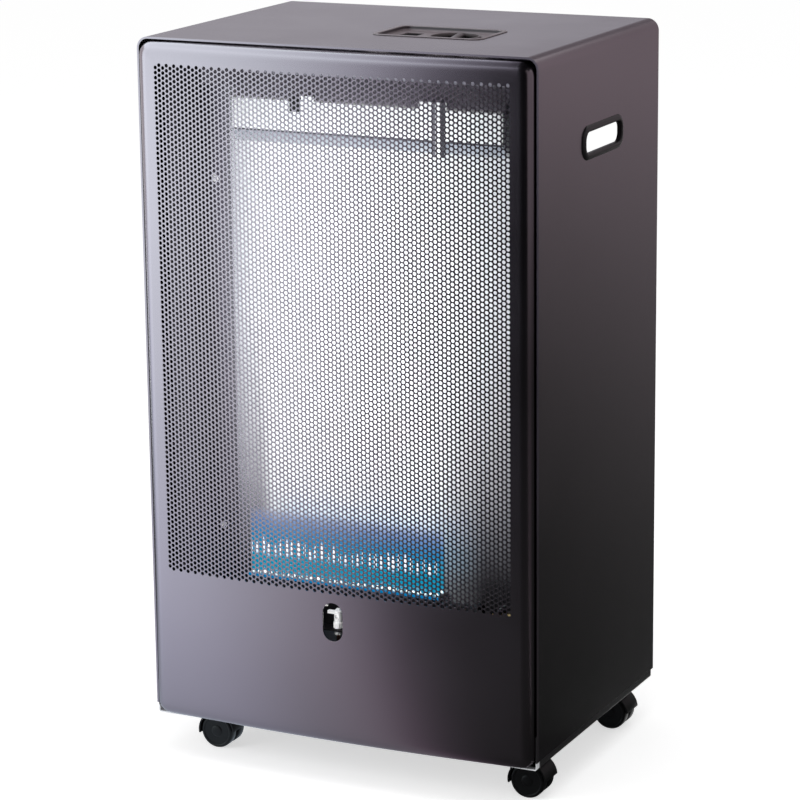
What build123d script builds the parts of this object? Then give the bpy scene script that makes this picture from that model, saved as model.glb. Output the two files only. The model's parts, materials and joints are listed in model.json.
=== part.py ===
from build123d import *
import math
import os

os.makedirs("parts", exist_ok=True)

# ---------------------------------------------------------------- driving dimensions, mm
# Cabinet
cabinet_top = 745.0  # floor to the top sheet
ground_clearance = 53.0  # floor to the lower edge of the side sheets
body_width = 430.0
body_depth = 308.0
sheet = 1.0
bend_radius = 12.0  # outside radius of the two top bends
hem_depth = 8.0  # front edge of the wrap, folded back on itself
rear_flange = 14.0

# Front panel, a crowned pan that stands proud of the wrap
panel_gap = 2.5
panel_proud = 18.0
panel_crown_radius = 2580.0
panel_roll = 12.0
panel_corner = 14.0
panel_return = 20.0  # how far the pan's sides reach behind the wrap's front edge
field_margin = 21.5  # pan's side to the perforated field
field_bottom = 149.0  # perforated field, above the lower edge of the side sheets
field_head = 20.0  # perforated field, below the pan's top
guard_pitch = 48.5
guard_opening = 34.0  # across the flats
peep_width = 22.0
peep_height = 40.0
peep_rise = 120.5

# Base tray
tray_drop = 10.0  # the tray's underside below the side sheets
plate = 1.2
tray_wall_height = 35.0
air_slot_length = 40.0
air_slot_width = 8.0

# Firebox
divider_setback = 96.0  # wrap's front edge to the divider's front face
divider_fold = 14.0
reflector_setback = 84.0
reflector_inset = 58.0  # cabinet's side to the reflector's side
reflector_bottom = 112.0
reflector_drop = 70.0  # top sheet to the reflector's head
deflector_setback = 70.0
deflector_inset = 9.0  # reflector's side to the deflector's end
deflector_drop = 97.0  # top sheet to the lower edge of the deflector's lip
deflector_lip = 30.0
deflector_rise = 22.0
drip_edge = 13.0  # height of the slanting edge below the lip
drip_slant = 8.0
lip_tab_x = -63.0
lip_tab_width = 14.0
lip_tab_rise = 6.0
strap_x = 80.0
strap_width = 12.0
strap_drop = 16.0
strap_head_x = 74.0
strap_head_width = 30.0
strap_head_rise = 7.0  # how far the strap's head stands above the lip
clip_x = -77.0
clip_width = 11.0
clip_height = 14.0
clip_rise = 4.0
shield_inset = 17.0  # cabinet's side to the shield
shield_foot = 45.0
shield_flange = 10.0
shield_front_gap = 4.0
shield_head_gap = 6.0

# Burner and pilot
burner_length = 218.0
burner_setback = 45.0
burner_depth = 36.0
burner_height = 26.0
burner_rise = 140.0  # burner's top face above the side sheets' lower edge
strip_height = 3.0
strip_depth = 22.0
port_count = 15
port_width = 5.0
venturi_radius = 9.0
venturi_length = 40.0
bell_radius = 13.0
injector_gap = 12.0
injector_length = 22.0
leg_width = 30.0
leg_head_gap = 3.0
holder_width = 22.0
foot_length = 14.0
pilot_x = -12.0
pilot_setback = 18.0
pilot_rise = 101.0
pilot_spacing = 20.0
spark_gap = 2.5
spark_wire_rise = 9.0

# Top controls
bezel_width = 119.0
bezel_depth = 76.0
bezel_x = 54.5
bezel_setback = 129.0
bezel_recess = 4.0
bezel_wall = 1.8
bezel_lip = 3.0
bezel_proud = 0.8
knob_x = 70.0
knob_radius = 25.5
knob_height = 13.0
knob_rim = 2.0
knob_bar = 9.0
knob_lean = 11.0
knob_gap = 1.5
knob_stroke = 3.0
igniter_x = 19.0
igniter_width = 20.0
igniter_depth = 40.0
igniter_guide = 21.0  # depth of the button's guide below the control panel
igniter_gap = 1.2
igniter_stroke = 4.0

# Gas valve, pipes and leads
valve_drop = 45.0  # top sheet to the valve's mounting face
valve_width = 52.0
valve_depth = 40.0
valve_height = 46.0
valve_bracket_margin = 4.0
valve_bracket_leg = 30.0
rotor_radius = 9.0
shaft_radius = 4.0
shaft_flat = 2.8  # centre line to the flat of the shaft
gas_pipe_radius = 3.0
pilot_pipe_radius = 2.0
lead_radius = 1.5
main_pipe_inset = 37.0  # cabinet's side to the main pipe
pipe_elbow = 10.0  # main pipe to the end of the injector
nozzle_length = 30.0
nozzle_radius = 5.0
nozzle_nut = 16.0  # across the flats

# Handle slots in the two sides
handle_setback = 158.0
handle_drop = 98.0  # top sheet to the middle of the slot
handle_length = 104.0
handle_height = 34.0
handle_rim = 6.5
handle_proud = 2.5
handle_collar = 2.0  # collar around the finger opening, behind the rim

# Rear
rail_height = 24.0
rail_fold = 12.0
cover_inset = 3.0
cover_foot = 8.0
cover_drop = 204.0  # top sheet to the cover's head
cover_proud = 10.0
cover_rim = 6.0
cover_gap = 0.3
hook_inset = 86.0  # cabinet's side to the middle of the hook
hook_width = 30.0
hook_reach = 11.0
hook_slot_height = 12.0

# Casters
caster_inset_x = 39.0
caster_inset_y = 45.0
wheel_radius = 18.0
wheel_width = 11.0
caster_trail = 13.0
hood_wall = 1.6
web = 5.0
axle_radius = 2.5
stem_radius = 4.0
stem_length = 22.0
socket_radius = 7.5  # to the corners of the hexagonal bush
socket_flange_radius = 13.0
socket_flange = 2.0

# Fits
running_fit = 0.1  # radial, on shafts and pins that turn or slide
wheel_side_gap = 0.7
wheel_hood_gap = 1.3
swivel_gap = 0.6

# ---------------------------------------------------------------- levels and stations worked out from them
overall_depth = panel_proud + body_depth + cover_proud
wrap_front = panel_proud - overall_depth / 2
wrap_back = wrap_front + body_depth
wrap_bottom = ground_clearance
half_width = body_width / 2
inner_half = half_width - sheet
hem_half = half_width - 2 * sheet
inner_top = cabinet_top - sheet

panel_face = wrap_front - panel_proud
panel_half = inner_half - panel_gap
panel_top = inner_top - panel_gap
field_width = 2 * (panel_half - field_margin)
field_low = wrap_bottom + field_bottom
field_high = panel_top - field_head
tray_under = wrap_bottom - tray_drop
tray_top = tray_under + plate
tray_half = hem_half
tray_inner_half = tray_half - plate
tray_back = wrap_back - sheet
panel_bottom = tray_top

divider_front = wrap_front + divider_setback
divider_back = divider_front + sheet
reflector_front = wrap_front + reflector_setback
reflector_half = half_width - reflector_inset
reflector_low = wrap_bottom + reflector_bottom
reflector_high = cabinet_top - reflector_drop
deflector_front = wrap_front + deflector_setback
deflector_half = reflector_half - deflector_inset
side_shield_x = half_width - shield_inset

burner_y = wrap_front + burner_setback
burner_front = burner_y - burner_depth / 2
burner_top = wrap_bottom + burner_rise
burner_axis_z = burner_top - burner_height / 2
main_pipe_x = half_width - main_pipe_inset
injector_end = main_pipe_x - pipe_elbow
injector_tip = injector_end - injector_length
venturi_end = injector_tip - injector_gap
burner_right = venturi_end - venturi_length
burner_left = burner_right - burner_length
burner_x = (burner_left + burner_right) / 2
pilot_y = wrap_front + pilot_setback
pilot_plate_z = wrap_bottom + pilot_rise

bezel_y = wrap_front + bezel_setback
bezel_floor = cabinet_top - bezel_recess
valve_top = cabinet_top - valve_drop
valve_axis_z = valve_top - valve_height / 2


def upright(y):
    """Plane that faces the viewer at depth y. Its x runs along X and its y along Z."""
    return Plane.XZ.offset(-y)


def sideways(x):
    """Plane across the cabinet at x. Its x runs along Y and its y along Z."""
    return Plane.YZ.offset(x)


def level(z):
    """Horizontal plane at height z."""
    return Plane.XY.offset(z)


def rolled(plane, points, bend, thickness):
    """Section of a sheet rolled round large bends along the points, lying to their left."""
    with BuildSketch(plane) as section:
        with BuildLine():
            FilletPolyline(*points, radius=bend)
            offset(amount=thickness, side=Side.LEFT)
        make_face()
    return section.sketch


def folded(plane, points, thickness=sheet):
    """Section of a sheet folded sharply along the points, lying to their left."""
    with BuildSketch(plane) as section:
        with BuildLine():
            Polyline(*points)
            offset(amount=thickness, side=Side.LEFT, kind=Kind.INTERSECTION)
        make_face()
    return section.sketch


def finish(part, name):
    """Names a finished piece and writes it to its own file."""
    part.label = name
    export_step(part, f"parts/{name}.step")


# ---------------------------------------------------------------- cabinet wrap
handle_y = wrap_front + handle_setback
handle_z = cabinet_top - handle_drop
finger_length = handle_length - 2 * handle_rim
finger_height = handle_height - 2 * handle_rim
collar_length = finger_length + 2 * handle_collar
collar_height = finger_height + 2 * handle_collar
collar_corner = collar_height * 0.4
cutout_width = bezel_width - 2 * bezel_lip
cutout_depth = bezel_depth - 2 * bezel_lip
bezel_corner = 12.0


def arch(y, inset, thickness):
    """Section of the cabinet's skin at depth y: an arch with two round corners, inset from the outside."""
    half = half_width - inset
    top = cabinet_top - inset
    corners = [(half, wrap_bottom), (half, top), (-half, top), (-half, wrap_bottom)]
    return rolled(upright(y), corners, bend_radius - inset, thickness)


with BuildPart() as cabinet_wrap:
    extrude(arch(wrap_front, 0, sheet), amount=-body_depth)
    extrude(arch(wrap_front, sheet, sheet), amount=-hem_depth)
    with BuildSketch(upright(wrap_back - sheet)):
        with Locations((0, (wrap_bottom + inner_top) / 2)):
            Rectangle(2 * inner_half, inner_top - wrap_bottom)
        fillet(vertices().group_by(Axis.Y)[-1], bend_radius - sheet)
        with Locations((0, (wrap_bottom + cabinet_top - rear_flange) / 2)):
            Rectangle(
                body_width - 2 * rear_flange,
                cabinet_top - rear_flange - wrap_bottom,
                mode=Mode.SUBTRACT,
            )
    extrude(amount=-sheet)
    with BuildSketch(sideways(-body_width)):
        with Locations((handle_y, handle_z)):
            RectangleRounded(collar_length, collar_height, collar_corner)
    extrude(amount=2 * body_width, mode=Mode.SUBTRACT)
    with BuildSketch(level(cabinet_top - 2 * sheet)):
        with Locations((bezel_x, bezel_y)):
            RectangleRounded(cutout_width, cutout_depth, bezel_corner - bezel_lip)
    extrude(amount=3 * sheet, mode=Mode.SUBTRACT)
finish(cabinet_wrap.part, "cabinet_wrap")

# ---------------------------------------------------------------- front panel
panel_back = wrap_front + panel_return
column_step = guard_pitch * math.sqrt(3) / 2
column_pairs = int((field_width - guard_opening / math.cos(math.pi / 6)) / (2 * column_step))


def crown(x):
    """How far the panel's face falls back at x from its middle, along a shallow arc."""
    return panel_crown_radius - math.sqrt(panel_crown_radius**2 - x**2)


def pan_block(inset, back):
    """Solid of the pan's outline, inset from its outside, with rolled front edges and round corners.

    The bow of its front is made of flat upright strips, one to each column of openings.
    """
    half = panel_half - inset
    face_y = panel_face + inset
    side_y = face_y + crown(panel_half)
    kinks = [(column + 0.5) * column_step for column in range(-column_pairs - 1, column_pairs + 1)]
    bow = [(x, face_y + crown(x)) for x in kinks]

    def is_rim(edge):
        """True for the edges round the front, and not for the kinks between its strips."""
        box = edge.bounding_box()
        is_kink = box.size.X < 0.01 and abs(edge.center().X) < half - 1
        return box.max.Y < side_y + 0.5 and not is_kink

    with BuildPart() as block:
        with BuildSketch(level(panel_bottom + inset)):
            with BuildLine():
                Polyline((-half, side_y), *bow, (half, side_y), (half, back), (-half, back), close=True)
            make_face()
        extrude(amount=panel_top - panel_bottom - 2 * inset)
        fillet(block.edges().filter_by(Axis.Y), panel_corner - inset)
        fillet(block.edges().filter_by(is_rim), panel_roll - inset)
    return block.part


guard_rows = 1 + int((field_high - field_low - guard_opening) / guard_pitch)
field_middle = (field_low + field_high) / 2

with BuildPart() as front_panel:
    add(pan_block(0, panel_back))
    add(pan_block(sheet, panel_back + sheet), mode=Mode.SUBTRACT)
    # Guard: hexagonal openings in staggered columns, every other column half a pitch lower.
    with BuildSketch(upright(panel_face - sheet)):
        with Locations((0, field_middle)):
            with GridLocations(2 * column_step, guard_pitch, column_pairs + 1, guard_rows - 1):
                RegularPolygon(guard_opening / 2, 6, major_radius=False)
            with GridLocations(2 * column_step, guard_pitch, column_pairs, guard_rows):
                RegularPolygon(guard_opening / 2, 6, major_radius=False)
        with Locations((0, wrap_bottom + peep_rise)):
            SlotOverall(peep_height, peep_width, rotation=90)
    extrude(amount=-panel_proud, mode=Mode.SUBTRACT)
finish(front_panel.part, "front_panel")

# ---------------------------------------------------------------- base tray
caster_x = half_width - caster_inset_x
caster_front_y = wrap_front + caster_inset_y
caster_back_y = wrap_back - caster_inset_y
cover_bottom_z = wrap_bottom + cover_foot
hook_x = half_width - hook_inset
hook_z = cover_bottom_z + 3 * sheet
hook_play = 2.0
bay_middle_y = (divider_back + tray_back) / 2
tray_corners = [
    (tray_half, tray_under + tray_wall_height),
    (tray_half, tray_under),
    (-tray_half, tray_under),
    (-tray_half, tray_under + tray_wall_height),
]

with BuildPart() as base_tray:
    extrude(
        rolled(upright(wrap_front), list(reversed(tray_corners)), 2 * plate, plate),
        amount=-(tray_back - wrap_front),
    )
    with BuildSketch(upright(tray_back - plate)):
        with Locations((0, tray_under + tray_wall_height / 2 + plate)):
            Rectangle(2 * tray_inner_half, tray_wall_height - 2 * plate)
    extrude(amount=-plate)
    # Cut-outs: caster sockets, air slots under the cylinder and the slots for the rear cover's hooks.
    with BuildSketch(level(tray_under - plate)):
        for y in (caster_front_y, caster_back_y):
            with Locations((-caster_x, y), (caster_x, y)):
                RegularPolygon(socket_radius, 6)
        with Locations((0, bay_middle_y)):
            with GridLocations(5 * air_slot_width, 1.8 * air_slot_length, 5, 2):
                Rectangle(air_slot_width, air_slot_length)
    extrude(amount=3 * plate, mode=Mode.SUBTRACT)
    with BuildSketch(upright(tray_back - 2 * plate)):
        with Locations((-hook_x, hook_z), (hook_x, hook_z)):
            Rectangle(hook_width + 2 * hook_play, hook_slot_height)
    extrude(amount=-3 * plate, mode=Mode.SUBTRACT)
finish(base_tray.part, "base_tray")

# ---------------------------------------------------------------- divider between the firebox and the cylinder bay
service_hole_width = 72.0
service_hole_height = 44.0
service_hole_x = knob_x - 28.0
service_hole_z = wrap_bottom + 34.0
divider_middle_z = (tray_top + inner_top) / 2
divider_height = inner_top - tray_top
bezel_notch_play = 4.0
bezel_notch_depth = 20.0

with BuildPart() as bay_divider:
    with BuildSketch(upright(divider_front)):
        with Locations((0, divider_middle_z)):
            Rectangle(2 * tray_inner_half, divider_height)
        fillet(vertices().group_by(Axis.Y)[-1], bend_radius)
        fillet(vertices().group_by(Axis.Y)[0], 2 * plate)
        with Locations((service_hole_x, service_hole_z)):
            RectangleRounded(service_hole_width, service_hole_height, 8, mode=Mode.SUBTRACT)
        with Locations((main_pipe_x, burner_axis_z)):
            RegularPolygon(2 * gas_pipe_radius, 8, mode=Mode.SUBTRACT)
    extrude(amount=-sheet)
    with BuildSketch(upright(divider_back)):
        with Locations((0, divider_middle_z)):
            Rectangle(2 * tray_inner_half, divider_height)
        fillet(vertices().group_by(Axis.Y)[-1], bend_radius)
        fillet(vertices().group_by(Axis.Y)[0], 2 * plate)
        with Locations((0, divider_middle_z)):
            Rectangle(2 * (tray_inner_half - sheet), divider_height - 2 * sheet, mode=Mode.SUBTRACT)
    extrude(amount=-divider_fold)
    with BuildSketch(upright(divider_front - sheet)):
        with Locations((bezel_x, inner_top)):
            Rectangle(bezel_width + 2 * bezel_notch_play, 2 * bezel_notch_depth)
    extrude(amount=-2 * divider_fold, mode=Mode.SUBTRACT)
finish(bay_divider.part, "bay_divider")

# ---------------------------------------------------------------- firebox sheets
reflector_flange = 8.0
reflector_points = [
    (reflector_half + reflector_flange, divider_front),
    (reflector_half, divider_front),
    (reflector_half, reflector_front),
    (-reflector_half, reflector_front),
    (-reflector_half, divider_front),
    (-reflector_half - reflector_flange, divider_front),
]

with BuildPart() as reflector:
    extrude(
        folded(level(reflector_low), reflector_points),
        amount=reflector_high - reflector_low,
    )
finish(reflector.part, "reflector")

lip_bottom = cabinet_top - deflector_drop
lip_top = lip_bottom + deflector_lip
deflector_flange = 14.0
deflector_points = [
    (deflector_front + drip_slant, lip_bottom - drip_edge),
    (deflector_front, lip_bottom),
    (deflector_front, lip_top),
    (divider_front, lip_top + deflector_rise),
    (divider_front, lip_top + deflector_rise + deflector_flange),
]

with BuildPart() as heat_deflector:
    extrude(
        folded(sideways(-deflector_half), deflector_points),
        amount=2 * deflector_half,
    )
    with BuildSketch(upright(deflector_front)):
        with Locations((lip_tab_x, lip_top)):
            Rectangle(lip_tab_width, 2 * lip_tab_rise)
    extrude(amount=sheet)
finish(heat_deflector.part, "heat_deflector")

strap_points = [
    (deflector_front - sheet, lip_bottom - strap_drop),
    (deflector_front - sheet, lip_top),
]

with BuildPart() as deflector_strap:
    extrude(
        folded(sideways(strap_x - strap_width / 2), strap_points),
        amount=strap_width,
    )
    with BuildSketch(upright(deflector_front - sheet)):
        with Locations((strap_head_x, lip_top + strap_head_rise / 2)):
            Rectangle(strap_head_width, strap_head_rise + 2 * sheet)
    extrude(amount=sheet)
finish(deflector_strap.part, "deflector_strap")

with BuildPart() as deflector_clip:
    with BuildSketch(upright(deflector_front - sheet)):
        with Locations((clip_x, lip_top + clip_rise - clip_height / 2)):
            RectangleRounded(clip_width, clip_height, 1)
    extrude(amount=sheet)
finish(deflector_clip.part, "deflector_clip")


def side_shield(hand):
    """Sheet between the fire and a side of the cabinet, with a flange turned out on the divider."""
    points = [
        (hand * side_shield_x, wrap_front + panel_return + shield_front_gap),
        (hand * side_shield_x, divider_front),
        (hand * (side_shield_x + shield_flange), divider_front),
    ]
    if hand > 0:
        points.reverse()
    foot_z = wrap_bottom + shield_foot
    with BuildPart() as shield:
        extrude(folded(level(foot_z), points), amount=inner_top - shield_head_gap - foot_z)
    return shield.part


finish(side_shield(-1), "side_shield_left")
finish(side_shield(1), "side_shield_right")


# ---------------------------------------------------------------- burner
with BuildPart() as burner_body:
    with BuildSketch(sideways(burner_left)):
        with Locations((burner_y, burner_axis_z)):
            RectangleRounded(burner_depth, burner_height, 6)
    extrude(amount=burner_length)
finish(burner_body.part, "burner_body")

port_step = burner_length / (port_count + 1)
with BuildPart() as burner_strip:
    with BuildSketch(level(burner_top)):
        with Locations((burner_x, burner_y)):
            Rectangle(burner_length - 4, strip_depth)
            with GridLocations(port_step, 1, port_count, 1):
                Rectangle(port_width, strip_depth - 8, mode=Mode.SUBTRACT)
    extrude(amount=strip_height)
finish(burner_strip.part, "burner_strip")


def burner_leg(hand):
    """Upright that carries one end of the burner, with a foot turned in on the tray."""
    end_x = burner_x + hand * burner_length / 2
    outer_x = end_x + hand * plate
    points = [
        (outer_x, burner_top - leg_head_gap),
        (outer_x, tray_top),
        (outer_x - hand * foot_length, tray_top),
    ]
    if hand > 0:
        points.reverse()
    with BuildPart() as leg:
        extrude(folded(upright(burner_y - leg_width / 2), points, plate), amount=-leg_width)
        if hand > 0:
            with BuildSketch(sideways(end_x - plate)):
                with Locations((burner_y, burner_axis_z)):
                    Circle(venturi_radius)
            extrude(amount=3 * plate, mode=Mode.SUBTRACT)
    return leg.part


finish(burner_leg(-1), "burner_leg_left")
finish(burner_leg(1), "burner_leg_right")

venturi_wall = 1.2
with BuildPart() as venturi:
    with BuildSketch(upright(burner_y)):
        with BuildLine():
            Polyline(
                (burner_right, burner_axis_z + venturi_radius),
                (venturi_end - 12, burner_axis_z + venturi_radius),
                (venturi_end, burner_axis_z + bell_radius),
                (venturi_end, burner_axis_z + venturi_radius - venturi_wall),
                (burner_right, burner_axis_z + venturi_radius - venturi_wall),
                close=True,
            )
        make_face()
    revolve(axis=Axis((burner_right, burner_y, burner_axis_z), (1, 0, 0)))
finish(venturi.part, "venturi")

holder_x = injector_tip + injector_length / 2
with BuildPart() as injector:
    with BuildSketch(sideways(injector_tip)):
        with Locations((burner_y, burner_axis_z)):
            Circle(3)
    extrude(amount=injector_length / 2)
    with BuildSketch(sideways(holder_x)):
        with Locations((burner_y, burner_axis_z)):
            RegularPolygon(6.5, 6)
    extrude(amount=injector_length / 2)
    with BuildSketch(sideways(injector_tip)):
        with Locations((burner_y, burner_axis_z)):
            Circle(0.8)
    extrude(amount=5, mode=Mode.SUBTRACT)
finish(injector.part, "injector")

with BuildPart() as injector_bracket:
    extrude(
        folded(
            upright(burner_y - holder_width / 2),
            [
                (holder_x - foot_length, tray_top),
                (holder_x, tray_top),
                (holder_x, burner_axis_z + holder_width / 2),
            ],
            plate,
        ),
        amount=-holder_width,
    )
    with BuildSketch(sideways(holder_x - 2 * plate)):
        with Locations((burner_y, burner_axis_z)):
            Circle(3)
    extrude(amount=3 * plate, mode=Mode.SUBTRACT)
finish(injector_bracket.part, "injector_bracket")

# ---------------------------------------------------------------- pilot
electrode_x = pilot_x - pilot_spacing
thermocouple_x = pilot_x + pilot_spacing
pilot_radius = 4.0
electrode_radius = 3.0
probe_radius = 2.2
pilot_tail = 5.0
pilot_height = 22.0
pilot_arm = 5.0  # reach of the hood's arm, beside the pilot's head
pilot_arm_height = 3.0

with BuildPart() as pilot_bracket:
    extrude(
        folded(
            sideways(electrode_x - 7),
            [
                (pilot_y - 8, pilot_plate_z),
                (burner_front, pilot_plate_z),
                (burner_front, burner_axis_z + 8),
            ],
            plate,
        ),
        amount=2 * pilot_spacing + 14,
    )
    with BuildSketch(level(pilot_plate_z - plate)):
        with Locations((pilot_x, pilot_y)):
            Circle(pilot_radius)
        with Locations((electrode_x, pilot_y)):
            Circle(electrode_radius)
        with Locations((thermocouple_x, pilot_y)):
            Circle(probe_radius)
    extrude(amount=3 * plate, mode=Mode.SUBTRACT)
finish(pilot_bracket.part, "pilot_bracket")

with BuildPart() as pilot_burner:
    with BuildSketch(level(pilot_plate_z - pilot_tail)):
        with Locations((pilot_x, pilot_y)):
            Circle(pilot_radius)
    extrude(amount=pilot_tail + pilot_height)
    chamfer(pilot_burner.faces().sort_by(Axis.Z)[-1].edges(), 2.5)
    with BuildSketch(level(pilot_plate_z + 2 * plate)):
        with Locations((pilot_x, pilot_y)):
            RegularPolygon(5.5, 6)
    extrude(amount=5)
    with BuildSketch(upright(pilot_y - 2 * pilot_radius)):
        with Locations((pilot_x, pilot_plate_z + 14)):
            Rectangle(4, 4)
    extrude(amount=-2 * pilot_radius, mode=Mode.SUBTRACT)
    with BuildSketch(level(pilot_plate_z + pilot_height - 2 * pilot_arm_height)):
        with Locations((pilot_x - pilot_radius - pilot_arm / 2, pilot_y)):
            Rectangle(pilot_arm + pilot_radius, pilot_radius)
    extrude(amount=pilot_arm_height)
finish(pilot_burner.part, "pilot_burner")

electrode_top = pilot_plate_z + 15
spark_x = pilot_x - pilot_radius - pilot_arm - spark_gap
spark_z = electrode_top + spark_wire_rise
with BuildPart() as spark_electrode:
    with BuildSketch(level(pilot_plate_z - pilot_tail)):
        with Locations((electrode_x, pilot_y)):
            Circle(electrode_radius)
    extrude(amount=pilot_tail + 15)
    with BuildSketch(upright(pilot_y - 0.6)):
        with BuildLine():
            Polyline(
                (electrode_x - 0.6, electrode_top),
                (electrode_x - 0.6, spark_z),
                (spark_x, spark_z),
                (spark_x, spark_z - 1.2),
                (electrode_x + 0.6, spark_z - 1.2),
                (electrode_x + 0.6, electrode_top),
                close=True,
            )
        make_face()
    extrude(amount=-1.2)
finish(spark_electrode.part, "spark_electrode")


def tube(points, radius, bend, sides=6):
    """Thin tube or lead along straight runs and bends, with a section of few sides."""
    with BuildPart() as run:
        with BuildLine() as route:
            FilletPolyline(*points, radius=bend)
        with BuildSketch(Plane(origin=route.line @ 0, z_dir=route.line % 0)):
            RegularPolygon(radius, sides)
        sweep(path=route.line)
    return run.part


# ---------------------------------------------------------------- gas valve, pipes and leads
valve_x = knob_x
valve_y = bezel_y
valve_right = valve_x + valve_width / 2
valve_bottom = valve_top - valve_height
valve_back = valve_y + valve_depth / 2
pilot_pipe_x = valve_x - 14
lead_run_z = wrap_bottom + 23.0
pilot_run_z = lead_run_z + 12
probe_run_z = pilot_run_z + 10
pilot_socket_z = pilot_plate_z - pilot_tail

finish(
    tube(
        [
            (valve_right, valve_y, valve_axis_z),
            (main_pipe_x, valve_y, valve_axis_z),
            (main_pipe_x, valve_y, burner_axis_z),
            (main_pipe_x, burner_y, burner_axis_z),
            (injector_end, burner_y, burner_axis_z),
        ],
        gas_pipe_radius,
        [14, 14, 9],
        sides=8,
    ),
    "main_gas_pipe",
)
finish(
    tube(
        [
            (pilot_pipe_x, valve_y, valve_bottom),
            (pilot_pipe_x, valve_y, pilot_run_z),
            (pilot_pipe_x, pilot_y, pilot_run_z),
            (pilot_x, pilot_y, pilot_run_z),
            (pilot_x, pilot_y, pilot_socket_z),
        ],
        pilot_pipe_radius,
        8,
    ),
    "pilot_gas_pipe",
)
with BuildPart() as thermocouple:
    add(
        tube(
            [
                (valve_x, valve_y, valve_bottom),
                (valve_x, valve_y, probe_run_z),
                (valve_x, pilot_y, probe_run_z),
                (thermocouple_x, pilot_y, probe_run_z),
                (thermocouple_x, pilot_y, pilot_socket_z),
            ],
            lead_radius,
            8,
        )
    )
    with BuildSketch(level(pilot_socket_z)):
        with Locations((thermocouple_x, pilot_y)):
            Circle(probe_radius)
    extrude(amount=pilot_tail + 20)
finish(thermocouple.part, "thermocouple")

piezo_radius = 9.0
piezo_flange_z = bezel_floor - bezel_wall - igniter_guide
piezo_length = 26.0
finish(
    tube(
        [
            (igniter_x, bezel_y, piezo_flange_z - piezo_length),
            (igniter_x, bezel_y, lead_run_z),
            (igniter_x, pilot_y, lead_run_z),
            (electrode_x, pilot_y, lead_run_z),
            (electrode_x, pilot_y, pilot_socket_z),
        ],
        lead_radius,
        8,
    ),
    "ignition_lead",
)

rotor_floor = valve_top - 22
rotor_head = valve_top + 6
with BuildPart() as gas_valve:
    with BuildSketch(level(valve_bottom)):
        with Locations((valve_x, valve_y)):
            RectangleRounded(valve_width, valve_depth, 7)
    extrude(amount=valve_height)
    with BuildSketch(level(rotor_floor)):
        with Locations((valve_x, valve_y)):
            Circle(rotor_radius + running_fit)
    extrude(amount=valve_top - rotor_floor, mode=Mode.SUBTRACT)
finish(gas_valve.part, "gas_valve")

bracket_top = valve_top + plate
with BuildPart() as valve_bracket:
    extrude(
        folded(
            sideways(valve_x - valve_width / 2 - valve_bracket_margin),
            [
                (valve_back + valve_bracket_margin, bracket_top),
                (divider_back, bracket_top),
                (divider_back, bracket_top - valve_bracket_leg),
            ],
            plate,
        ),
        amount=valve_width + 2 * valve_bracket_margin,
    )
    with BuildSketch(level(valve_top - plate)):
        with Locations((valve_x, valve_y)):
            Circle(rotor_radius + 1)
    extrude(amount=3 * plate, mode=Mode.SUBTRACT)
finish(valve_bracket.part, "valve_bracket")

knob_top = bezel_floor + bezel_wall
knob_bottom = knob_top - knob_height
boss_bottom = knob_bottom - 10
shaft_bottom = rotor_floor + knob_stroke + 1.5


def flatted_round(plane, radius, flat):
    """Round section with one flat, the key between shaft, rotor and knob."""
    with BuildSketch(plane) as section:
        with Locations((valve_x, valve_y)):
            Circle(radius)
        with Locations((valve_x, valve_y + flat + radius)):
            Rectangle(2 * radius, 2 * radius, mode=Mode.SUBTRACT)
    return section.sketch


with BuildPart() as valve_rotor:
    with BuildSketch(level(rotor_floor)):
        with Locations((valve_x, valve_y)):
            Circle(rotor_radius)
    extrude(amount=rotor_head - rotor_floor)
    extrude(
        flatted_round(level(rotor_floor + 1), shaft_radius + running_fit, shaft_flat + running_fit),
        amount=rotor_head - rotor_floor,
        mode=Mode.SUBTRACT,
    )
finish(valve_rotor.part, "valve_rotor")

with BuildPart() as valve_shaft:
    extrude(
        flatted_round(level(shaft_bottom), shaft_radius, shaft_flat),
        amount=knob_bottom - shaft_bottom,
    )
finish(valve_shaft.part, "valve_shaft")

with BuildPart() as control_knob:
    with BuildSketch(level(knob_bottom)):
        with Locations((valve_x, valve_y)):
            Circle(knob_radius)
    extrude(amount=knob_height)
    with BuildSketch(level(knob_bottom + 2)):
        with Locations((valve_x, valve_y)):
            Circle(knob_radius - knob_rim)
        with Locations(Location((valve_x, valve_y), knob_lean)):
            Rectangle(knob_bar, 2 * knob_radius, mode=Mode.SUBTRACT)
    extrude(amount=knob_height, mode=Mode.SUBTRACT)
    with BuildSketch(level(boss_bottom)):
        with Locations((valve_x, valve_y)):
            Circle(shaft_radius + 3)
    extrude(amount=knob_bottom - boss_bottom)
    extrude(
        flatted_round(level(boss_bottom), shaft_radius, shaft_flat),
        amount=knob_bottom - boss_bottom,
        mode=Mode.SUBTRACT,
    )
finish(control_knob.part, "control_knob")

with BuildPart() as hose_nozzle:
    with BuildSketch(upright(valve_back)):
        with Locations((valve_x, valve_axis_z)):
            RegularPolygon(nozzle_nut / 2, 6, major_radius=False)
    extrude(amount=-nozzle_nut / 2)
    with BuildSketch(upright(valve_back)):
        with Locations((valve_x, valve_axis_z)):
            Circle(nozzle_radius)
    extrude(amount=-nozzle_length)
    with BuildSketch(upright(valve_back + nozzle_length)):
        with Locations((valve_x, valve_axis_z)):
            Circle(nozzle_radius - 2)
    extrude(amount=nozzle_length - 4, mode=Mode.SUBTRACT)
finish(hose_nozzle.part, "hose_nozzle")

# ---------------------------------------------------------------- top control panel
well_radius = knob_radius + knob_gap
well_depth = 9.0
floor_under = bezel_floor - bezel_wall
button_width = igniter_width - 2 * igniter_gap
button_depth = igniter_depth - 2 * igniter_gap
button_height = 12.0
button_top = bezel_floor - 0.5
plunger_radius = 4.0

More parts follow.
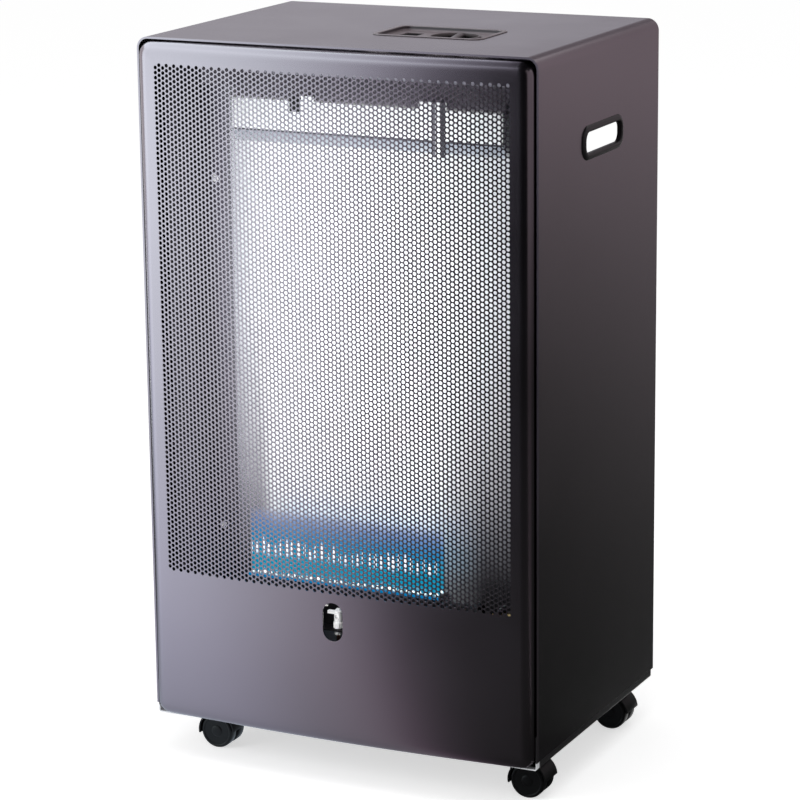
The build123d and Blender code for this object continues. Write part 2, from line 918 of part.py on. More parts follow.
with BuildPart() as control_bezel:
    with BuildSketch(level(floor_under)):
        with Locations((bezel_x, bezel_y)):
            RectangleRounded(cutout_width, cutout_depth, bezel_corner - bezel_lip)
    extrude(amount=cabinet_top - floor_under)
    with BuildSketch(level(cabinet_top)):
        with Locations((bezel_x, bezel_y)):
            RectangleRounded(bezel_width, bezel_depth, bezel_corner)
    extrude(amount=bezel_proud)
    with BuildSketch(level(bezel_floor)):
        with Locations((bezel_x, bezel_y)):
            RectangleRounded(
                cutout_width - 2 * bezel_wall,
                cutout_depth - 2 * bezel_wall,
                bezel_corner - bezel_lip - bezel_wall,
            )
    extrude(amount=2 * bezel_recess, mode=Mode.SUBTRACT)
    # Round well for the knob and a square guide for the igniter button, both open below.
    with BuildSketch(level(floor_under)):
        with Locations((knob_x, bezel_y)):
            Circle(well_radius + bezel_wall)
    extrude(amount=-well_depth)
    with BuildSketch(level(floor_under)):
        with Locations((igniter_x, bezel_y)):
            Rectangle(igniter_width + 2 * bezel_wall, igniter_depth + 2 * bezel_wall)
    extrude(amount=-(floor_under - piezo_flange_z))
    with BuildSketch(level(bezel_floor)):
        with Locations((knob_x, bezel_y)):
            Circle(well_radius)
        with Locations((igniter_x, bezel_y)):
            Rectangle(igniter_width, igniter_depth)
    extrude(amount=-2 * (bezel_floor - piezo_flange_z), mode=Mode.SUBTRACT)
finish(control_bezel.part, "control_bezel")

with BuildPart() as igniter_button:
    with BuildSketch(level(button_top - button_height)):
        with Locations((igniter_x, bezel_y)):
            Rectangle(button_width, button_depth)
    extrude(amount=button_height)
    chamfer(igniter_button.faces().sort_by(Axis.Z)[-1].edges(), 1.5)
    with BuildSketch(level(button_top - button_height)):
        with Locations((igniter_x, bezel_y)):
            Circle(plunger_radius)
    extrude(amount=-(button_top - button_height - piezo_flange_z + 6))
finish(igniter_button.part, "igniter_button")

with BuildPart() as piezo_igniter:
    with BuildSketch(level(piezo_flange_z)):
        with Locations((igniter_x, bezel_y)):
            Rectangle(igniter_width + 2 * bezel_wall, igniter_depth + 2 * bezel_wall)
    extrude(amount=-2)
    with BuildSketch(level(piezo_flange_z)):
        with Locations((igniter_x, bezel_y)):
            Circle(piezo_radius)
    extrude(amount=-piezo_length)
    with BuildSketch(level(piezo_flange_z)):
        with Locations((igniter_x, bezel_y)):
            Circle(plunger_radius + running_fit)
    extrude(amount=-(6 + igniter_stroke + 1.5), mode=Mode.SUBTRACT)
finish(piezo_igniter.part, "piezo_igniter")


# ---------------------------------------------------------------- handle slots
def handle_bezel(hand):
    """Plastic rim of a handle slot, with a short collar around the finger opening behind the sheet."""
    with BuildPart() as bezel:
        with BuildSketch(sideways(hand * half_width)):
            with Locations((handle_y, handle_z)):
                RectangleRounded(handle_length, handle_height, handle_height * 0.4)
        extrude(amount=hand * handle_proud)
        with BuildSketch(sideways(hand * half_width)):
            with Locations((handle_y, handle_z)):
                RectangleRounded(collar_length, collar_height, collar_corner)
        extrude(amount=-hand * (sheet + handle_collar))
        with BuildSketch(sideways(hand * (half_width + 2 * handle_proud))):
            with Locations((handle_y, handle_z)):
                RectangleRounded(finger_length, finger_height, finger_height * 0.4)
        extrude(amount=-hand * 6 * handle_proud, mode=Mode.SUBTRACT)
    return bezel.part


finish(handle_bezel(-1), "handle_bezel_left")
finish(handle_bezel(1), "handle_bezel_right")

# ---------------------------------------------------------------- rear rail and cover
cover_top_z = cabinet_top - cover_drop
cover_face = wrap_back + cover_gap
cover_half = half_width - cover_inset
rail_top = cover_top_z - sheet - 0.5
rail_points = [
    (wrap_back - sheet - rail_fold, rail_top),
    (wrap_back - sheet, rail_top),
    (wrap_back - sheet, rail_top - rail_height),
    (wrap_back - sheet - rail_fold, rail_top - rail_height),
]

with BuildPart() as rear_rail:
    extrude(
        folded(sideways(-tray_inner_half), list(reversed(rail_points))),
        amount=2 * tray_inner_half,
    )
finish(rear_rail.part, "rear_rail")


def cover_step(y, inset):
    """Outline of the cover's raised field at depth y, drawn in evenly from the cover's edge."""
    with BuildSketch(upright(y)) as outline:
        with Locations((0, (cover_bottom_z + cover_top_z) / 2)):
            RectangleRounded(
                2 * (cover_half - inset),
                cover_top_z - cover_bottom_z - 2 * inset,
                10,
            )
    return outline.sketch


cover_slope = 18.0
cover_rise = cover_proud - cover_gap
vent_length = 120.0
vent_width = 5.0
vent_rows = 4
vent_spread = 180.0
vent_foot = 80.0
vent_head = 70.0

with BuildPart() as cover_hollow:
    loft([
        cover_step(cover_face, cover_rim + sheet),
        cover_step(cover_face + cover_rise - sheet, cover_rim + sheet + cover_slope),
    ])

with BuildPart() as rear_cover:
    extrude(cover_step(cover_face, 0), amount=-sheet)
    loft([
        cover_step(cover_face, cover_rim),
        cover_step(cover_face + cover_rise, cover_rim + cover_slope),
    ])
    add(cover_hollow.part, mode=Mode.SUBTRACT)
    # Lip over the rail at the head, and two hooks at the foot that pass through the tray's back wall.
    with BuildSketch(upright(cover_face)):
        with Locations((0, cover_top_z - sheet / 2)):
            Rectangle(2 * (cover_half - rear_flange), sheet)
    extrude(amount=rail_fold)
    with BuildSketch(upright(cover_face)):
        with Locations((-hook_x, hook_z), (hook_x, hook_z)):
            Rectangle(hook_width, sheet)
    extrude(amount=hook_reach)
    # Air slots low down, where escaping gas would collect, and high up.
    with BuildSketch(upright(cover_face)):
        for z in (cover_bottom_z + vent_foot, cover_top_z - vent_head):
            with Locations((-vent_spread / 2, z), (vent_spread / 2, z)):
                with GridLocations(1, 2.6 * vent_width, 1, vent_rows):
                    Rectangle(vent_length, vent_width)
    extrude(amount=-2 * cover_proud, mode=Mode.SUBTRACT)
finish(rear_cover.part, "rear_cover")


# ---------------------------------------------------------------- casters
wheel_z = wheel_radius
well_r = wheel_radius + wheel_hood_gap
hood_radius = well_r + hood_wall
wheel_inner = web / 2 + wheel_side_gap
wheel_outer = wheel_inner + wheel_width
hood_half = wheel_outer + 0.6
neck_top = tray_under - socket_flange - swivel_gap
neck_width = 16.0


def caster(corner, x, y):
    """Twin-wheel caster: socket in the tray, hood with its stem, and two wheels on an axle."""
    middle = upright(y)
    axle_x = x + caster_trail

    with BuildPart() as socket:
        with BuildSketch(level(tray_under)):
            with Locations((x, y)):
                RegularPolygon(socket_flange_radius, 6)
        extrude(amount=-socket_flange)
        with BuildSketch(level(tray_under)):
            with Locations((x, y)):
                RegularPolygon(socket_radius, 6)
        extrude(amount=stem_length)
        with BuildSketch(level(tray_under - socket_flange)):
            with Locations((x, y)):
                Circle(stem_radius + running_fit)
        extrude(amount=socket_flange + stem_length, mode=Mode.SUBTRACT)
    finish(socket.part, f"caster_{corner}_socket")

    with BuildPart() as hood:
        with BuildSketch(middle):
            with Locations((axle_x, wheel_z)):
                Circle(hood_radius)
        extrude(amount=hood_half, both=True)
        with BuildSketch(level(wheel_z)):
            with Locations((x, y)):
                Rectangle(neck_width, neck_width)
        extrude(amount=neck_top - wheel_z)
        for side in (-1, 1):
            with BuildSketch(upright(y + side * web / 2)):
                with Locations((axle_x, wheel_z)):
                    Circle(well_r)
            extrude(amount=-side * hood_half, mode=Mode.SUBTRACT)
        # The hood ends in a slanting edge, lower at the front, and its web reaches down around the axle.
        with BuildSketch(middle):
            with BuildLine():
                Polyline(
                    (axle_x - 2 * hood_radius, wheel_z - 7),
                    (axle_x + 2 * hood_radius, wheel_z + 5),
                    (axle_x + 2 * hood_radius, -wheel_z),
                    (axle_x - 2 * hood_radius, -wheel_z),
                    close=True,
                )
            make_face()
        extrude(amount=2 * hood_half, both=True, mode=Mode.SUBTRACT)
        with BuildSketch(middle):
            with Locations((axle_x, wheel_z)):
                Rectangle(4.4 * axle_radius, 4.4 * axle_radius)
        extrude(amount=web / 2, both=True)
        with BuildSketch(middle):
            with Locations((axle_x, wheel_z)):
                Circle(axle_radius + running_fit)
        extrude(amount=hood_half, both=True, mode=Mode.SUBTRACT)
        with BuildSketch(level(neck_top)):
            with Locations((x, y)):
                Circle(stem_radius)
        extrude(amount=socket_flange + swivel_gap + stem_length - 1)
    finish(hood.part, f"caster_{corner}_hood")

    with BuildPart() as wheels:
        for side in (-1, 1):
            with BuildSketch(upright(y + side * wheel_inner)):
                with Locations((axle_x, wheel_z)):
                    Circle(wheel_radius)
            extrude(amount=-side * wheel_width)
        with BuildSketch(middle):
            with Locations((axle_x, wheel_z)):
                Circle(axle_radius)
        extrude(amount=wheel_inner, both=True)
    finish(wheels.part, f"caster_{corner}_wheels")


for end, y in (("front", caster_front_y), ("back", caster_back_y)):
    caster(f"{end}_left", -caster_x, y)
    caster(f"{end}_right", caster_x, y)
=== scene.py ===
import json
import math
import random

import bmesh
import bpy
import numpy as np
from mathutils import Matrix, Vector
from mathutils.geometry import delaunay_2d_cdt


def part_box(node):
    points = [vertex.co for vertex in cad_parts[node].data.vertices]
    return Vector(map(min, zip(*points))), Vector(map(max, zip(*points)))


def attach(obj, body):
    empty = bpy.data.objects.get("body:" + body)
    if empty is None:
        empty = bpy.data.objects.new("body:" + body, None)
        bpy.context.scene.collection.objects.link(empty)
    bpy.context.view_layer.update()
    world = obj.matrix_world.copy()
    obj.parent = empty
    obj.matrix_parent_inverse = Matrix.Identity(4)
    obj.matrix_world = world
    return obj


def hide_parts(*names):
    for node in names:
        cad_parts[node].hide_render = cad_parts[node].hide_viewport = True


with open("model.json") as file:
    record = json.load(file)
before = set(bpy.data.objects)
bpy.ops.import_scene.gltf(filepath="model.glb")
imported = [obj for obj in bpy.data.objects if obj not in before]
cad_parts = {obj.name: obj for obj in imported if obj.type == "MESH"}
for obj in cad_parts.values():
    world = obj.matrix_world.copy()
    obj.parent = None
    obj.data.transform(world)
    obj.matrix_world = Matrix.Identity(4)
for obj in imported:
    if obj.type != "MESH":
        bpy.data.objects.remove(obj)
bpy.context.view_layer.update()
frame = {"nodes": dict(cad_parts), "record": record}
nodes = frame["nodes"]
rng = random.Random(7)

# ---------------------------------------------------------------- camera
VIEW_AZIMUTH = 0.451527
VIEW_PITCH = 0.246844
VIEW_ROLL = -0.011209
VIEW_TARGET = Vector((-0.00419, 0.0, 0.36207))
VIEW_DISTANCE = 3.21194
VIEW_LENS = 140.8

camera = bpy.data.objects.new("camera", bpy.data.cameras.new("camera"))
bpy.context.scene.collection.objects.link(camera)
camera.data.sensor_width = 36.0
camera.data.lens = VIEW_LENS
backward = Vector((
    math.sin(VIEW_AZIMUTH) * math.cos(VIEW_PITCH),
    -math.cos(VIEW_AZIMUTH) * math.cos(VIEW_PITCH),
    math.sin(VIEW_PITCH),
))
level_right = Vector((math.cos(VIEW_AZIMUTH), math.sin(VIEW_AZIMUTH), 0.0))
level_up = backward.cross(level_right)
image_right = level_right * math.cos(VIEW_ROLL) + level_up * math.sin(VIEW_ROLL)
image_up = level_up * math.cos(VIEW_ROLL) - level_right * math.sin(VIEW_ROLL)
camera.matrix_world = Matrix.Translation(VIEW_TARGET + backward * VIEW_DISTANCE) @ Matrix(
    (image_right, image_up, backward)
).transposed().to_4x4()
bpy.context.scene.camera = camera
bpy.context.scene.view_settings.view_transform = "Standard"


# ---------------------------------------------------------------- node helpers
def node_tools(tree):
    """Two functions for a node tree: fill sets a node's inputs, and add makes a node with inputs and settings.

    An input that is given a socket is linked to it.
    """

    def fill(node, inputs):
        for key, value in inputs.items():
            if isinstance(value, bpy.types.NodeSocket):
                tree.links.new(value, node.inputs[key])
            else:
                node.inputs[key].default_value = value

    def add(kind, inputs=None, **settings):
        node = tree.nodes.new("ShaderNode" + kind)
        for key, value in settings.items():
            setattr(node, key, value)
        fill(node, inputs or {})
        return node

    return fill, add


def shader(name):
    """New material with its Principled shader and the two functions for its nodes."""
    made = bpy.data.materials.new(name)
    made.use_nodes = True
    return made, made.node_tree.nodes["Principled BSDF"], *node_tools(made.node_tree)


def calc(add, operation, *values, clamp=False):
    """Output of a math node on sockets and numbers."""
    return add("Math", dict(enumerate(values)), operation=operation, use_clamp=clamp).outputs[0]


def line(add, value, slope, start, clamp=False):
    """Output that is a value times a slope, plus a start."""
    return calc(add, "MULTIPLY_ADD", value, slope, start, clamp=clamp)


def share_between(add, value, start, end):
    """Output that goes from 0 to 1 while the value goes from start to end, either of which may be the higher."""
    return add("MapRange", {"Value": value, "From Min": start, "From Max": end}).outputs[0]


def object_place(add):
    """The place on the object, as outputs named X, Y and Z."""
    return add("SeparateXYZ", {0: add("TexCoord").outputs["Object"]}).outputs


def banded(add, value, bands, span=None):
    """Colour of a ramp with (place, colour) pairs, over a span that is theirs where none is given."""
    low, high = span or (bands[0][0], bands[-1][0])
    ramp = add("ValToRGB", {"Fac": share_between(add, value, low, high)})
    elements = ramp.color_ramp.elements
    while len(elements) < len(bands):
        elements.new(0.5)
    for element, (place, color) in zip(elements, bands):
        element.position = (place - low) / (high - low)
        element.color = (*color, 1.0)
    return ramp.outputs["Color"]


# ---------------------------------------------------------------- materials
GLOSS_NOISE = (0.3, 0.7)
COLOR_NOISE = (0.35, 0.65)
LEAST_ROUGHNESS = 0.02
SHADE_SOFT_Y, SHADE_SOFT_Z = 0.002, 0.001
NO_FRONT = -1.0


def tinted(color, factor):
    """The colour times a factor, with no channel over 1."""
    return [min(1.0, channel * factor) for channel in color]


def surface(
    name, color, axis=None, metallic=0.0, roughness=0.4, specular=0.5, spread=0.06, patch=9.0, patchy=0.08,
    grain=900.0, bump=0.02, depth=0.0002, stretch=(1, 1, 1),
):
    """Material with a little uneven colour and gloss in large soft patches, and a fine grain.

    With an axis, color has (place in metres, colour) pairs along it, and the patches only change the gloss.
    """
    made, principled, fill, add = shader(name)
    place = add("TexCoord").outputs["Object"]
    scaled = add("Mapping", {"Vector": place, "Scale": stretch}).outputs["Vector"]
    patches = add("TexNoise", {"Vector": place, "Scale": patch, "Detail": 3.0}).outputs["Fac"]
    fine = add("TexNoise", {"Vector": scaled, "Scale": grain, "Detail": 2.0}).outputs["Fac"]
    if axis:
        base = banded(add, object_place(add)[axis], color)
    else:
        shades = zip(COLOR_NOISE, (tinted(color, 1 - patchy), tinted(color, 1 + patchy)))
        base = banded(add, calc(add, "MULTIPLY", calc(add, "ADD", patches, fine), 0.5), list(shades), (0, 1))
    gloss = add("MapRange", {
        "Value": patches,
        "From Min": GLOSS_NOISE[0],
        "From Max": GLOSS_NOISE[1],
        "To Min": max(LEAST_ROUGHNESS, roughness - spread),
        "To Max": roughness + spread,
    })
    bumps = add("Bump", {"Height": fine, "Strength": bump, "Distance": depth})
    fill(principled, {
        "Base Color": base,
        "Roughness": gloss.outputs[0],
        "Normal": bumps.outputs["Normal"],
        "Metallic": metallic,
        "Specular IOR Level": specular,
    })
    return made


BRUSHED = dict(spread=0.05, patchy=0.03, grain=500.0, stretch=(1, 1, 0.05), bump=0.06, depth=0.0001)
BRONZE_PLASTIC = (0.2, 0.165, 0.18)
DARK_PLASTIC = (0.006, 0.005, 0.0055)
# By material slot, and a few more.
SURFACES = {
    "bronze_paint": dict(
        color=(0.25, 0.212, 0.238), metallic=1.0, roughness=0.23, spread=0.02, patchy=0.03, grain=1400.0, bump=0.06,
        depth=0.00012,
    ),
    "bronze_plastic": dict(
        color=BRONZE_PLASTIC, roughness=0.36, spread=0.03, patchy=0.03, grain=2600.0, bump=0.1, depth=0.0001,
    ),
    "black_plastic": dict(
        color=(0.011, 0.009, 0.0105), roughness=0.36, specular=0.35, spread=0.05, grain=2600.0, bump=0.2,
        depth=0.0001,
    ),
    "button_plastic": dict(
        color=DARK_PLASTIC, roughness=0.7, specular=0.03, spread=0.05, grain=2600.0, bump=0.15, depth=0.0001,
    ),
    "caster_plastic": dict(color=(0.006, 0.006, 0.0065), specular=0.22, grain=1500.0, bump=0.12, depth=0.0001),
    "bright_steel": dict(color=(0.86, 0.87, 0.89), metallic=0.6, roughness=0.42, **BRUSHED),
    "darkened_steel": dict(
        color=(0.014, 0.013, 0.0145), metallic=0.7, roughness=0.5, spread=0.08, patch=30.0, patchy=0.2, grain=800.0,
        bump=0.05,
    ),
    "galvanised_steel": dict(
        color=(0.5, 0.51, 0.53), metallic=0.85, roughness=0.42, spread=0.1, patch=60.0, patchy=0.16, grain=800.0,
        bump=0.05,
    ),
    "burner_steel": dict(
        color=(0.5, 0.49, 0.48), metallic=0.9, roughness=0.36, patch=40.0, patchy=0.15, stretch=(0.05, 1, 1),
        bump=0.08,
    ),
    "brass": dict(
        color=(0.72, 0.53, 0.25), metallic=1.0, roughness=0.28, patch=60.0, patchy=0.1, grain=1500.0, bump=0.05,
    ),
    "copper": dict(
        color=(0.72, 0.37, 0.25), metallic=1.0, roughness=0.32, patch=70.0, patchy=0.15, grain=1200.0, bump=0.05,
    ),
    "valve_casting": dict(
        color=(0.55, 0.55, 0.56), metallic=0.85, roughness=0.5, patch=50.0, patchy=0.1, grain=1800.0, bump=0.3,
    ),
    "white_ceramic": dict(
        color=(0.86, 0.84, 0.8), roughness=0.25, patch=90.0, patchy=0.04, grain=1500.0, bump=0.05,
    ),
    "lead_rubber": dict(
        color=(0.42, 0.05, 0.035), roughness=0.5, patch=90.0, patchy=0.1, grain=1800.0, bump=0.2,
    ),
    "igniter_plastic": dict(color=(0.03, 0.03, 0.032), grain=2000.0, bump=0.15),
    "pilot_steel": dict(color=(0.9, 0.9, 0.9), metallic=0.2, roughness=0.5, spread=0.05, patchy=0.03, bump=0.05),
}
MATERIALS = {name: surface(name, **settings) for name, settings in SURFACES.items()}
for entry in frame["record"]["subparts"]:
    made_of = nodes[entry["node"]].data.materials
    made_of.clear()
    made_of.append(MATERIALS[entry["material_slot"]])


def give(node_name, made):
    """Puts another material on a CAD node, and returns it."""
    nodes[node_name].data.materials[0] = made
    return made


def striped(name, axis, bands, metallic=0.6, roughness=0.4, specular=0.5):
    """Surface whose colour changes along one axis, from (place, colour) pairs in metres."""
    return surface(name, bands, axis, metallic, roughness, specular, **BRUSHED)


def mix_base(made, factor, color, blend="MIX"):
    """Mixes another colour into the base colour that the material has."""
    fill, add = node_tools(made.node_tree)
    principled = made.node_tree.nodes["Principled BSDF"]
    base = principled.inputs["Base Color"].links[0].from_socket
    mixed = add("Mix", {0: factor, 6: base, 7: color}, data_type="RGBA", blend_type=blend)
    fill(principled, {"Base Color": mixed.outputs[2]})


def shade(made, level, color, front=NO_FRONT):
    """Paints shade on the sheet: another colour above a level, where it lies behind a front."""
    add = node_tools(made.node_tree)[1]
    place = object_place(add)
    behind = share_between(add, place["Y"], front, front + SHADE_SOFT_Y)
    above = share_between(add, place["Z"], level, level + SHADE_SOFT_Z)
    mix_base(made, calc(add, "MULTIPLY", behind, above), (*color, 1.0))


def paint_shade_beside(made, left, right, bands):
    """Paints shade on a sheet beyond two places across, green a little darker, by (height, share of its colour)
    pairs.
    """
    add = node_tools(made.node_tree)[1]
    place = object_place(add)
    beyond = calc(add, "MAXIMUM", *(share_between(add, place["X"], *ends) for ends in (left, right)))
    shades = [(height, (share, share * (0.95 + 0.05 * share), share)) for height, share in bands]
    mix_base(made, beyond, banded(add, place["Z"], shades), "MULTIPLY")


give("igniter_button", MATERIALS["button_plastic"])
give("venturi", MATERIALS["darkened_steel"])
give("pilot_burner", MATERIALS["pilot_steel"])

KNOB_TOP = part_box("control_knob")[1][2]
# The knob is dark plastic, lighter from 4 mm below its top upwards: a painted highlight on its rim and grip bar.
knob_painted_highlight = give("control_knob", striped("knob_painted_highlight", "Z", [
    (KNOB_TOP - 0.023, DARK_PLASTIC),
    (KNOB_TOP - 0.004, DARK_PLASTIC),
    (KNOB_TOP - 0.0012, (0.11, 0.092, 0.098)),
    (KNOB_TOP, (0.13, 0.11, 0.118)),
], metallic=0.0, roughness=0.34, specular=0.3))

BEZEL_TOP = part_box("control_bezel")[1][2]
# From 3.6 to 0.4 mm below the bezel's top, where the walls of its recess stand, it is dark: painted shade.
BEZEL_WALL_SHADE = (0.03, 0.02, 0.025)
bezel_wall_shaded_plastic = give("control_bezel", striped("bezel_wall_shaded_plastic", "Z", [
    (BEZEL_TOP - 0.02, BRONZE_PLASTIC),
    (BEZEL_TOP - 0.0036, BRONZE_PLASTIC),
    (BEZEL_TOP - 0.0024, BEZEL_WALL_SHADE),
    (BEZEL_TOP - 0.0008, BEZEL_WALL_SHADE),
    (BEZEL_TOP - 0.0004, BRONZE_PLASTIC),
    (BEZEL_TOP, BRONZE_PLASTIC),
], metallic=0.0, roughness=0.36))

# Below its fold the deflector's lip turns grey-blue, and a dark line lies along the fold: painted shade under the
# lip. Above the fold it is white sheet.
WHITE_SHEET, LIP_UNDERSIDE_SHADE, SEAM_SHADE = (0.88, 0.89, 0.9), (0.36, 0.39, 0.45), (0.05, 0.05, 0.06)
LIP_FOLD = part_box("heat_deflector")[0][2] + 0.013
deflector_steel = give("heat_deflector", striped("deflector_painted_shade", "Z", [
    (LIP_FOLD - 0.013, (0.5, 0.53, 0.58)),
    (LIP_FOLD - 0.003, LIP_UNDERSIDE_SHADE),
    (LIP_FOLD - 0.0013, LIP_UNDERSIDE_SHADE),
    (LIP_FOLD - 0.001, SEAM_SHADE),
    (LIP_FOLD + 0.0008, SEAM_SHADE),
    (LIP_FOLD + 0.0011, WHITE_SHEET),
    (LIP_FOLD + 0.03, WHITE_SHEET),
]))
# Painted shade on the deflector's sloping top, behind its front and from 20 mm over the fold upwards.
shade(deflector_steel, LIP_FOLD + 0.02, (0.38, 0.36, 0.42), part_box("heat_deflector")[0][1] + 0.0011)

STRAP_LOW, STRAP_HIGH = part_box("deflector_strap")
STRAP_LEFT, STRAP_RIGHT = STRAP_LOW[0] + 0.015, STRAP_LOW[0] + 0.027
# The strap is white sheet with dark bands along its left fold and its right edge: painted shade.
STRAP_FOLD_SHADE = (0.14, 0.14, 0.16)
give("deflector_strap", striped("strap_painted_shade", "X", [
    (STRAP_LOW[0], WHITE_SHEET),
    (STRAP_LEFT - 0.0005, WHITE_SHEET),
    (STRAP_LEFT, STRAP_FOLD_SHADE),
    (STRAP_LEFT + 0.0025, STRAP_FOLD_SHADE),
    (STRAP_LEFT + 0.0035, WHITE_SHEET),
    (STRAP_RIGHT - 0.004, WHITE_SHEET),
    (STRAP_RIGHT - 0.0032, SEAM_SHADE),
    (STRAP_RIGHT, SEAM_SHADE),
    (STRAP_HIGH[0], WHITE_SHEET),
]))

TRAY_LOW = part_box("base_tray")[0]
# The tray is pale only at its front edge; behind it, and from 7 mm over its floor upwards, it is dark: painted shade
# under the cabinet.
TRAY_SHADE = (0.03, 0.028, 0.03)
tray_steel = give("base_tray", striped("shaded_tray", "Y", [
    (TRAY_LOW[1], (0.93, 0.94, 0.97)),
    (TRAY_LOW[1] + 0.0055, (0.9, 0.91, 0.94)),
    (TRAY_LOW[1] + 0.008, TRAY_SHADE),
    (TRAY_LOW[1] + 0.16, TRAY_SHADE),
], metallic=0.1))
shade(tray_steel, TRAY_LOW[2] + 0.007, TRAY_SHADE)

DIVIDER_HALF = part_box("bay_divider")[1][0]
# The divider is pale behind the reflector and dark towards its ends: painted shade.
DIVIDER_END_SHADE = (0.01, 0.009, 0.011)
divider_steel = give("bay_divider", striped("shaded_divider", "X", [
    (-DIVIDER_HALF, DIVIDER_END_SHADE),
    (-0.19, (0.02, 0.018, 0.023)),
    (-0.176, (0.15, 0.14, 0.18)),
    (-0.158, (0.45, 0.46, 0.5)),
    (0.158, (0.4, 0.41, 0.45)),
    (0.175, (0.05, 0.048, 0.052)),
    (DIVIDER_HALF, DIVIDER_END_SHADE),
]))
# Painted shade on the divider above 0.685 m, where it shows over the deflector.
shade(divider_steel, 0.685, (0.16, 0.15, 0.18))

REFLECTOR_LOW, REFLECTOR_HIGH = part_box("reflector")
REFLECTOR_WIDTH = REFLECTOR_HIGH[0] - REFLECTOR_LOW[0]
# The reflector is white in the middle and darker towards both ends: painted shade.
reflector_shaded_ends = give("reflector", striped("reflector_shaded_ends", "X", [
    (REFLECTOR_LOW[0], (0.45, 0.47, 0.53)),
    (REFLECTOR_LOW[0] + 0.05 * REFLECTOR_WIDTH, (0.78, 0.8, 0.84)),
    (REFLECTOR_LOW[0] + 0.12 * REFLECTOR_WIDTH, WHITE_SHEET),
    (REFLECTOR_LOW[0] + 0.6 * REFLECTOR_WIDTH, WHITE_SHEET),
    (REFLECTOR_HIGH[0], (0.6, 0.61, 0.64)),
]))
# Beside the burner the reflector and the divider darken towards the bottom: painted shade.
SHADE_LEFT, SHADE_RIGHT = (-0.118, -0.132), (0.06, 0.12)
LOW_SHADE = [(0.18, 0.04), (0.2, 0.07), (0.235, 0.27), (0.29, 0.5), (0.36, 0.74), (0.46, 1.0)]
for steel in (reflector_shaded_ends, divider_steel):
    paint_shade_beside(steel, SHADE_LEFT, SHADE_RIGHT, LOW_SHADE)


# ---------------------------------------------------------------- mesh helpers
SMOOTH_ANGLE = math.radians(38)
UP = (0, 0, 1)
TIP = 0.0001  # radius of a turned profile at its axis


def placed(name, mesh, body, slot_name, replaced=(), made_of=None):
    """New piece from a mesh that rides on a body, in its slot's material or in another."""
    mesh.materials.append(made_of or MATERIALS[slot_name])
    piece = bpy.data.objects.new(name, mesh)
    bpy.context.scene.collection.objects.link(piece)
    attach(piece, body)
    if replaced:
        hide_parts(*replaced)
    return piece


def mesh_object(name, shape, body, slot_name, replaced=(), made_of=None, angle=SMOOTH_ANGLE):
    """New piece from points and faces, smooth shaded except at the edges that turn by more than an angle."""
    vertices, faces = shape
    mesh = bpy.data.meshes.new(name)
    mesh.from_pydata([tuple(point) for point in vertices], [], faces)
    mesh.update()
    mesh.shade_smooth()
    mesh.set_sharp_from_angle(angle=angle)
    return placed(name, mesh, body, slot_name, replaced, made_of)


def ring_stack(loops, closed=False, capped=False):
    """Points of loops of the same length, in order, and faces between them, and over both ends where capped."""
    vertices = [point for loop in loops for point in loop]
    count = len(loops[0])
    pairs = [(k, k + 1) for k in range(len(loops) - 1)]
    if closed:
        pairs.append((len(loops) - 1, 0))
    faces = []
    for lower, upper in pairs:
        for k in range(count):
            n = (k + 1) % count
            faces.append((lower * count + k, lower * count + n, upper * count + n, upper * count + k))
    if capped:
        faces.append(tuple(reversed(range(count))))
        faces.append(tuple(range(len(vertices) - count, len(vertices))))
    return vertices, faces


def lathe(profile, origin, axis, sides, capped=False):
    """Points and faces of a profile of (radius, height) pairs turned round an axis through the origin."""
    along = Vector(axis).normalized()
    across = along.orthogonal().normalized()
    third = along.cross(across)
    turns = [2 * math.pi * k / sides for k in range(sides)]
    around = [across * math.cos(turn) + third * math.sin(turn) for turn in turns]
    loops = [[Vector(origin) + along * height + out * radius for out in around] for radius, height in profile]
    return ring_stack(loops, capped=capped)


def joined(parts):
    """Points and faces of several shapes as one."""
    vertices, faces = [], []
    for points, corners in parts:
        faces += [tuple(index + len(vertices) for index in face) for face in corners]
        vertices += points
    return vertices, faces


# ---------------------------------------------------------------- perforated front
PANEL_LOW, PANEL_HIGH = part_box("front_panel")
PANEL_HALF = PANEL_HIGH[0]
PANEL_FACE = PANEL_LOW[1]
PANEL_BACK = PANEL_HIGH[1]
PANEL_BOTTOM = PANEL_LOW[2]
PANEL_TOP = PANEL_HIGH[2]
PANEL_CORNER = 0.014
PANEL_ROLL = 0.012
PANEL_SHEET = 0.001
CORNER_STEPS = 6
ROLL_STEPS = 8
UPRIGHT_STEPS = 34
LEVEL_STEPS = 40
CROWN_RADIUS = 2.58
HOLE_PITCH = 0.005
HOLE_RADIUS = 0.00195
COLUMN_STEP = HOLE_PITCH * math.sqrt(3) / 2
FIELD_COLUMNS = 88
FIELD_ROWS = 104
FIELD_MIDDLE = 0.46175
BANDS = 4
CELL_POINTS = 12
CELL_TURNS = np.arange(CELL_POINTS) * math.pi / (CELL_POINTS // 2)
STEPS_PER_METRE = 1e5  # points on the same step are one
MAP_MARGIN = 0.01
PEEP_Z = 0.1735
PEEP_HALF_WIDTH = 0.011
PEEP_HALF_HEIGHT = 0.020
PEEP_CLEAR_X, PEEP_CLEAR_Z = 0.018, 0.028
GRID_X = np.arange(-0.19, 0.1901, 0.019)
GRID_Z = np.arange(PANEL_BOTTOM + 0.02, 0.196, 0.0155)


def panel_y(x):
    """Depth of the panel's outer face at x: a shallow arc, nearest the viewer in the middle."""
    return PANEL_FACE + CROWN_RADIUS - np.sqrt(CROWN_RADIUS**2 - np.asarray(x) ** 2)


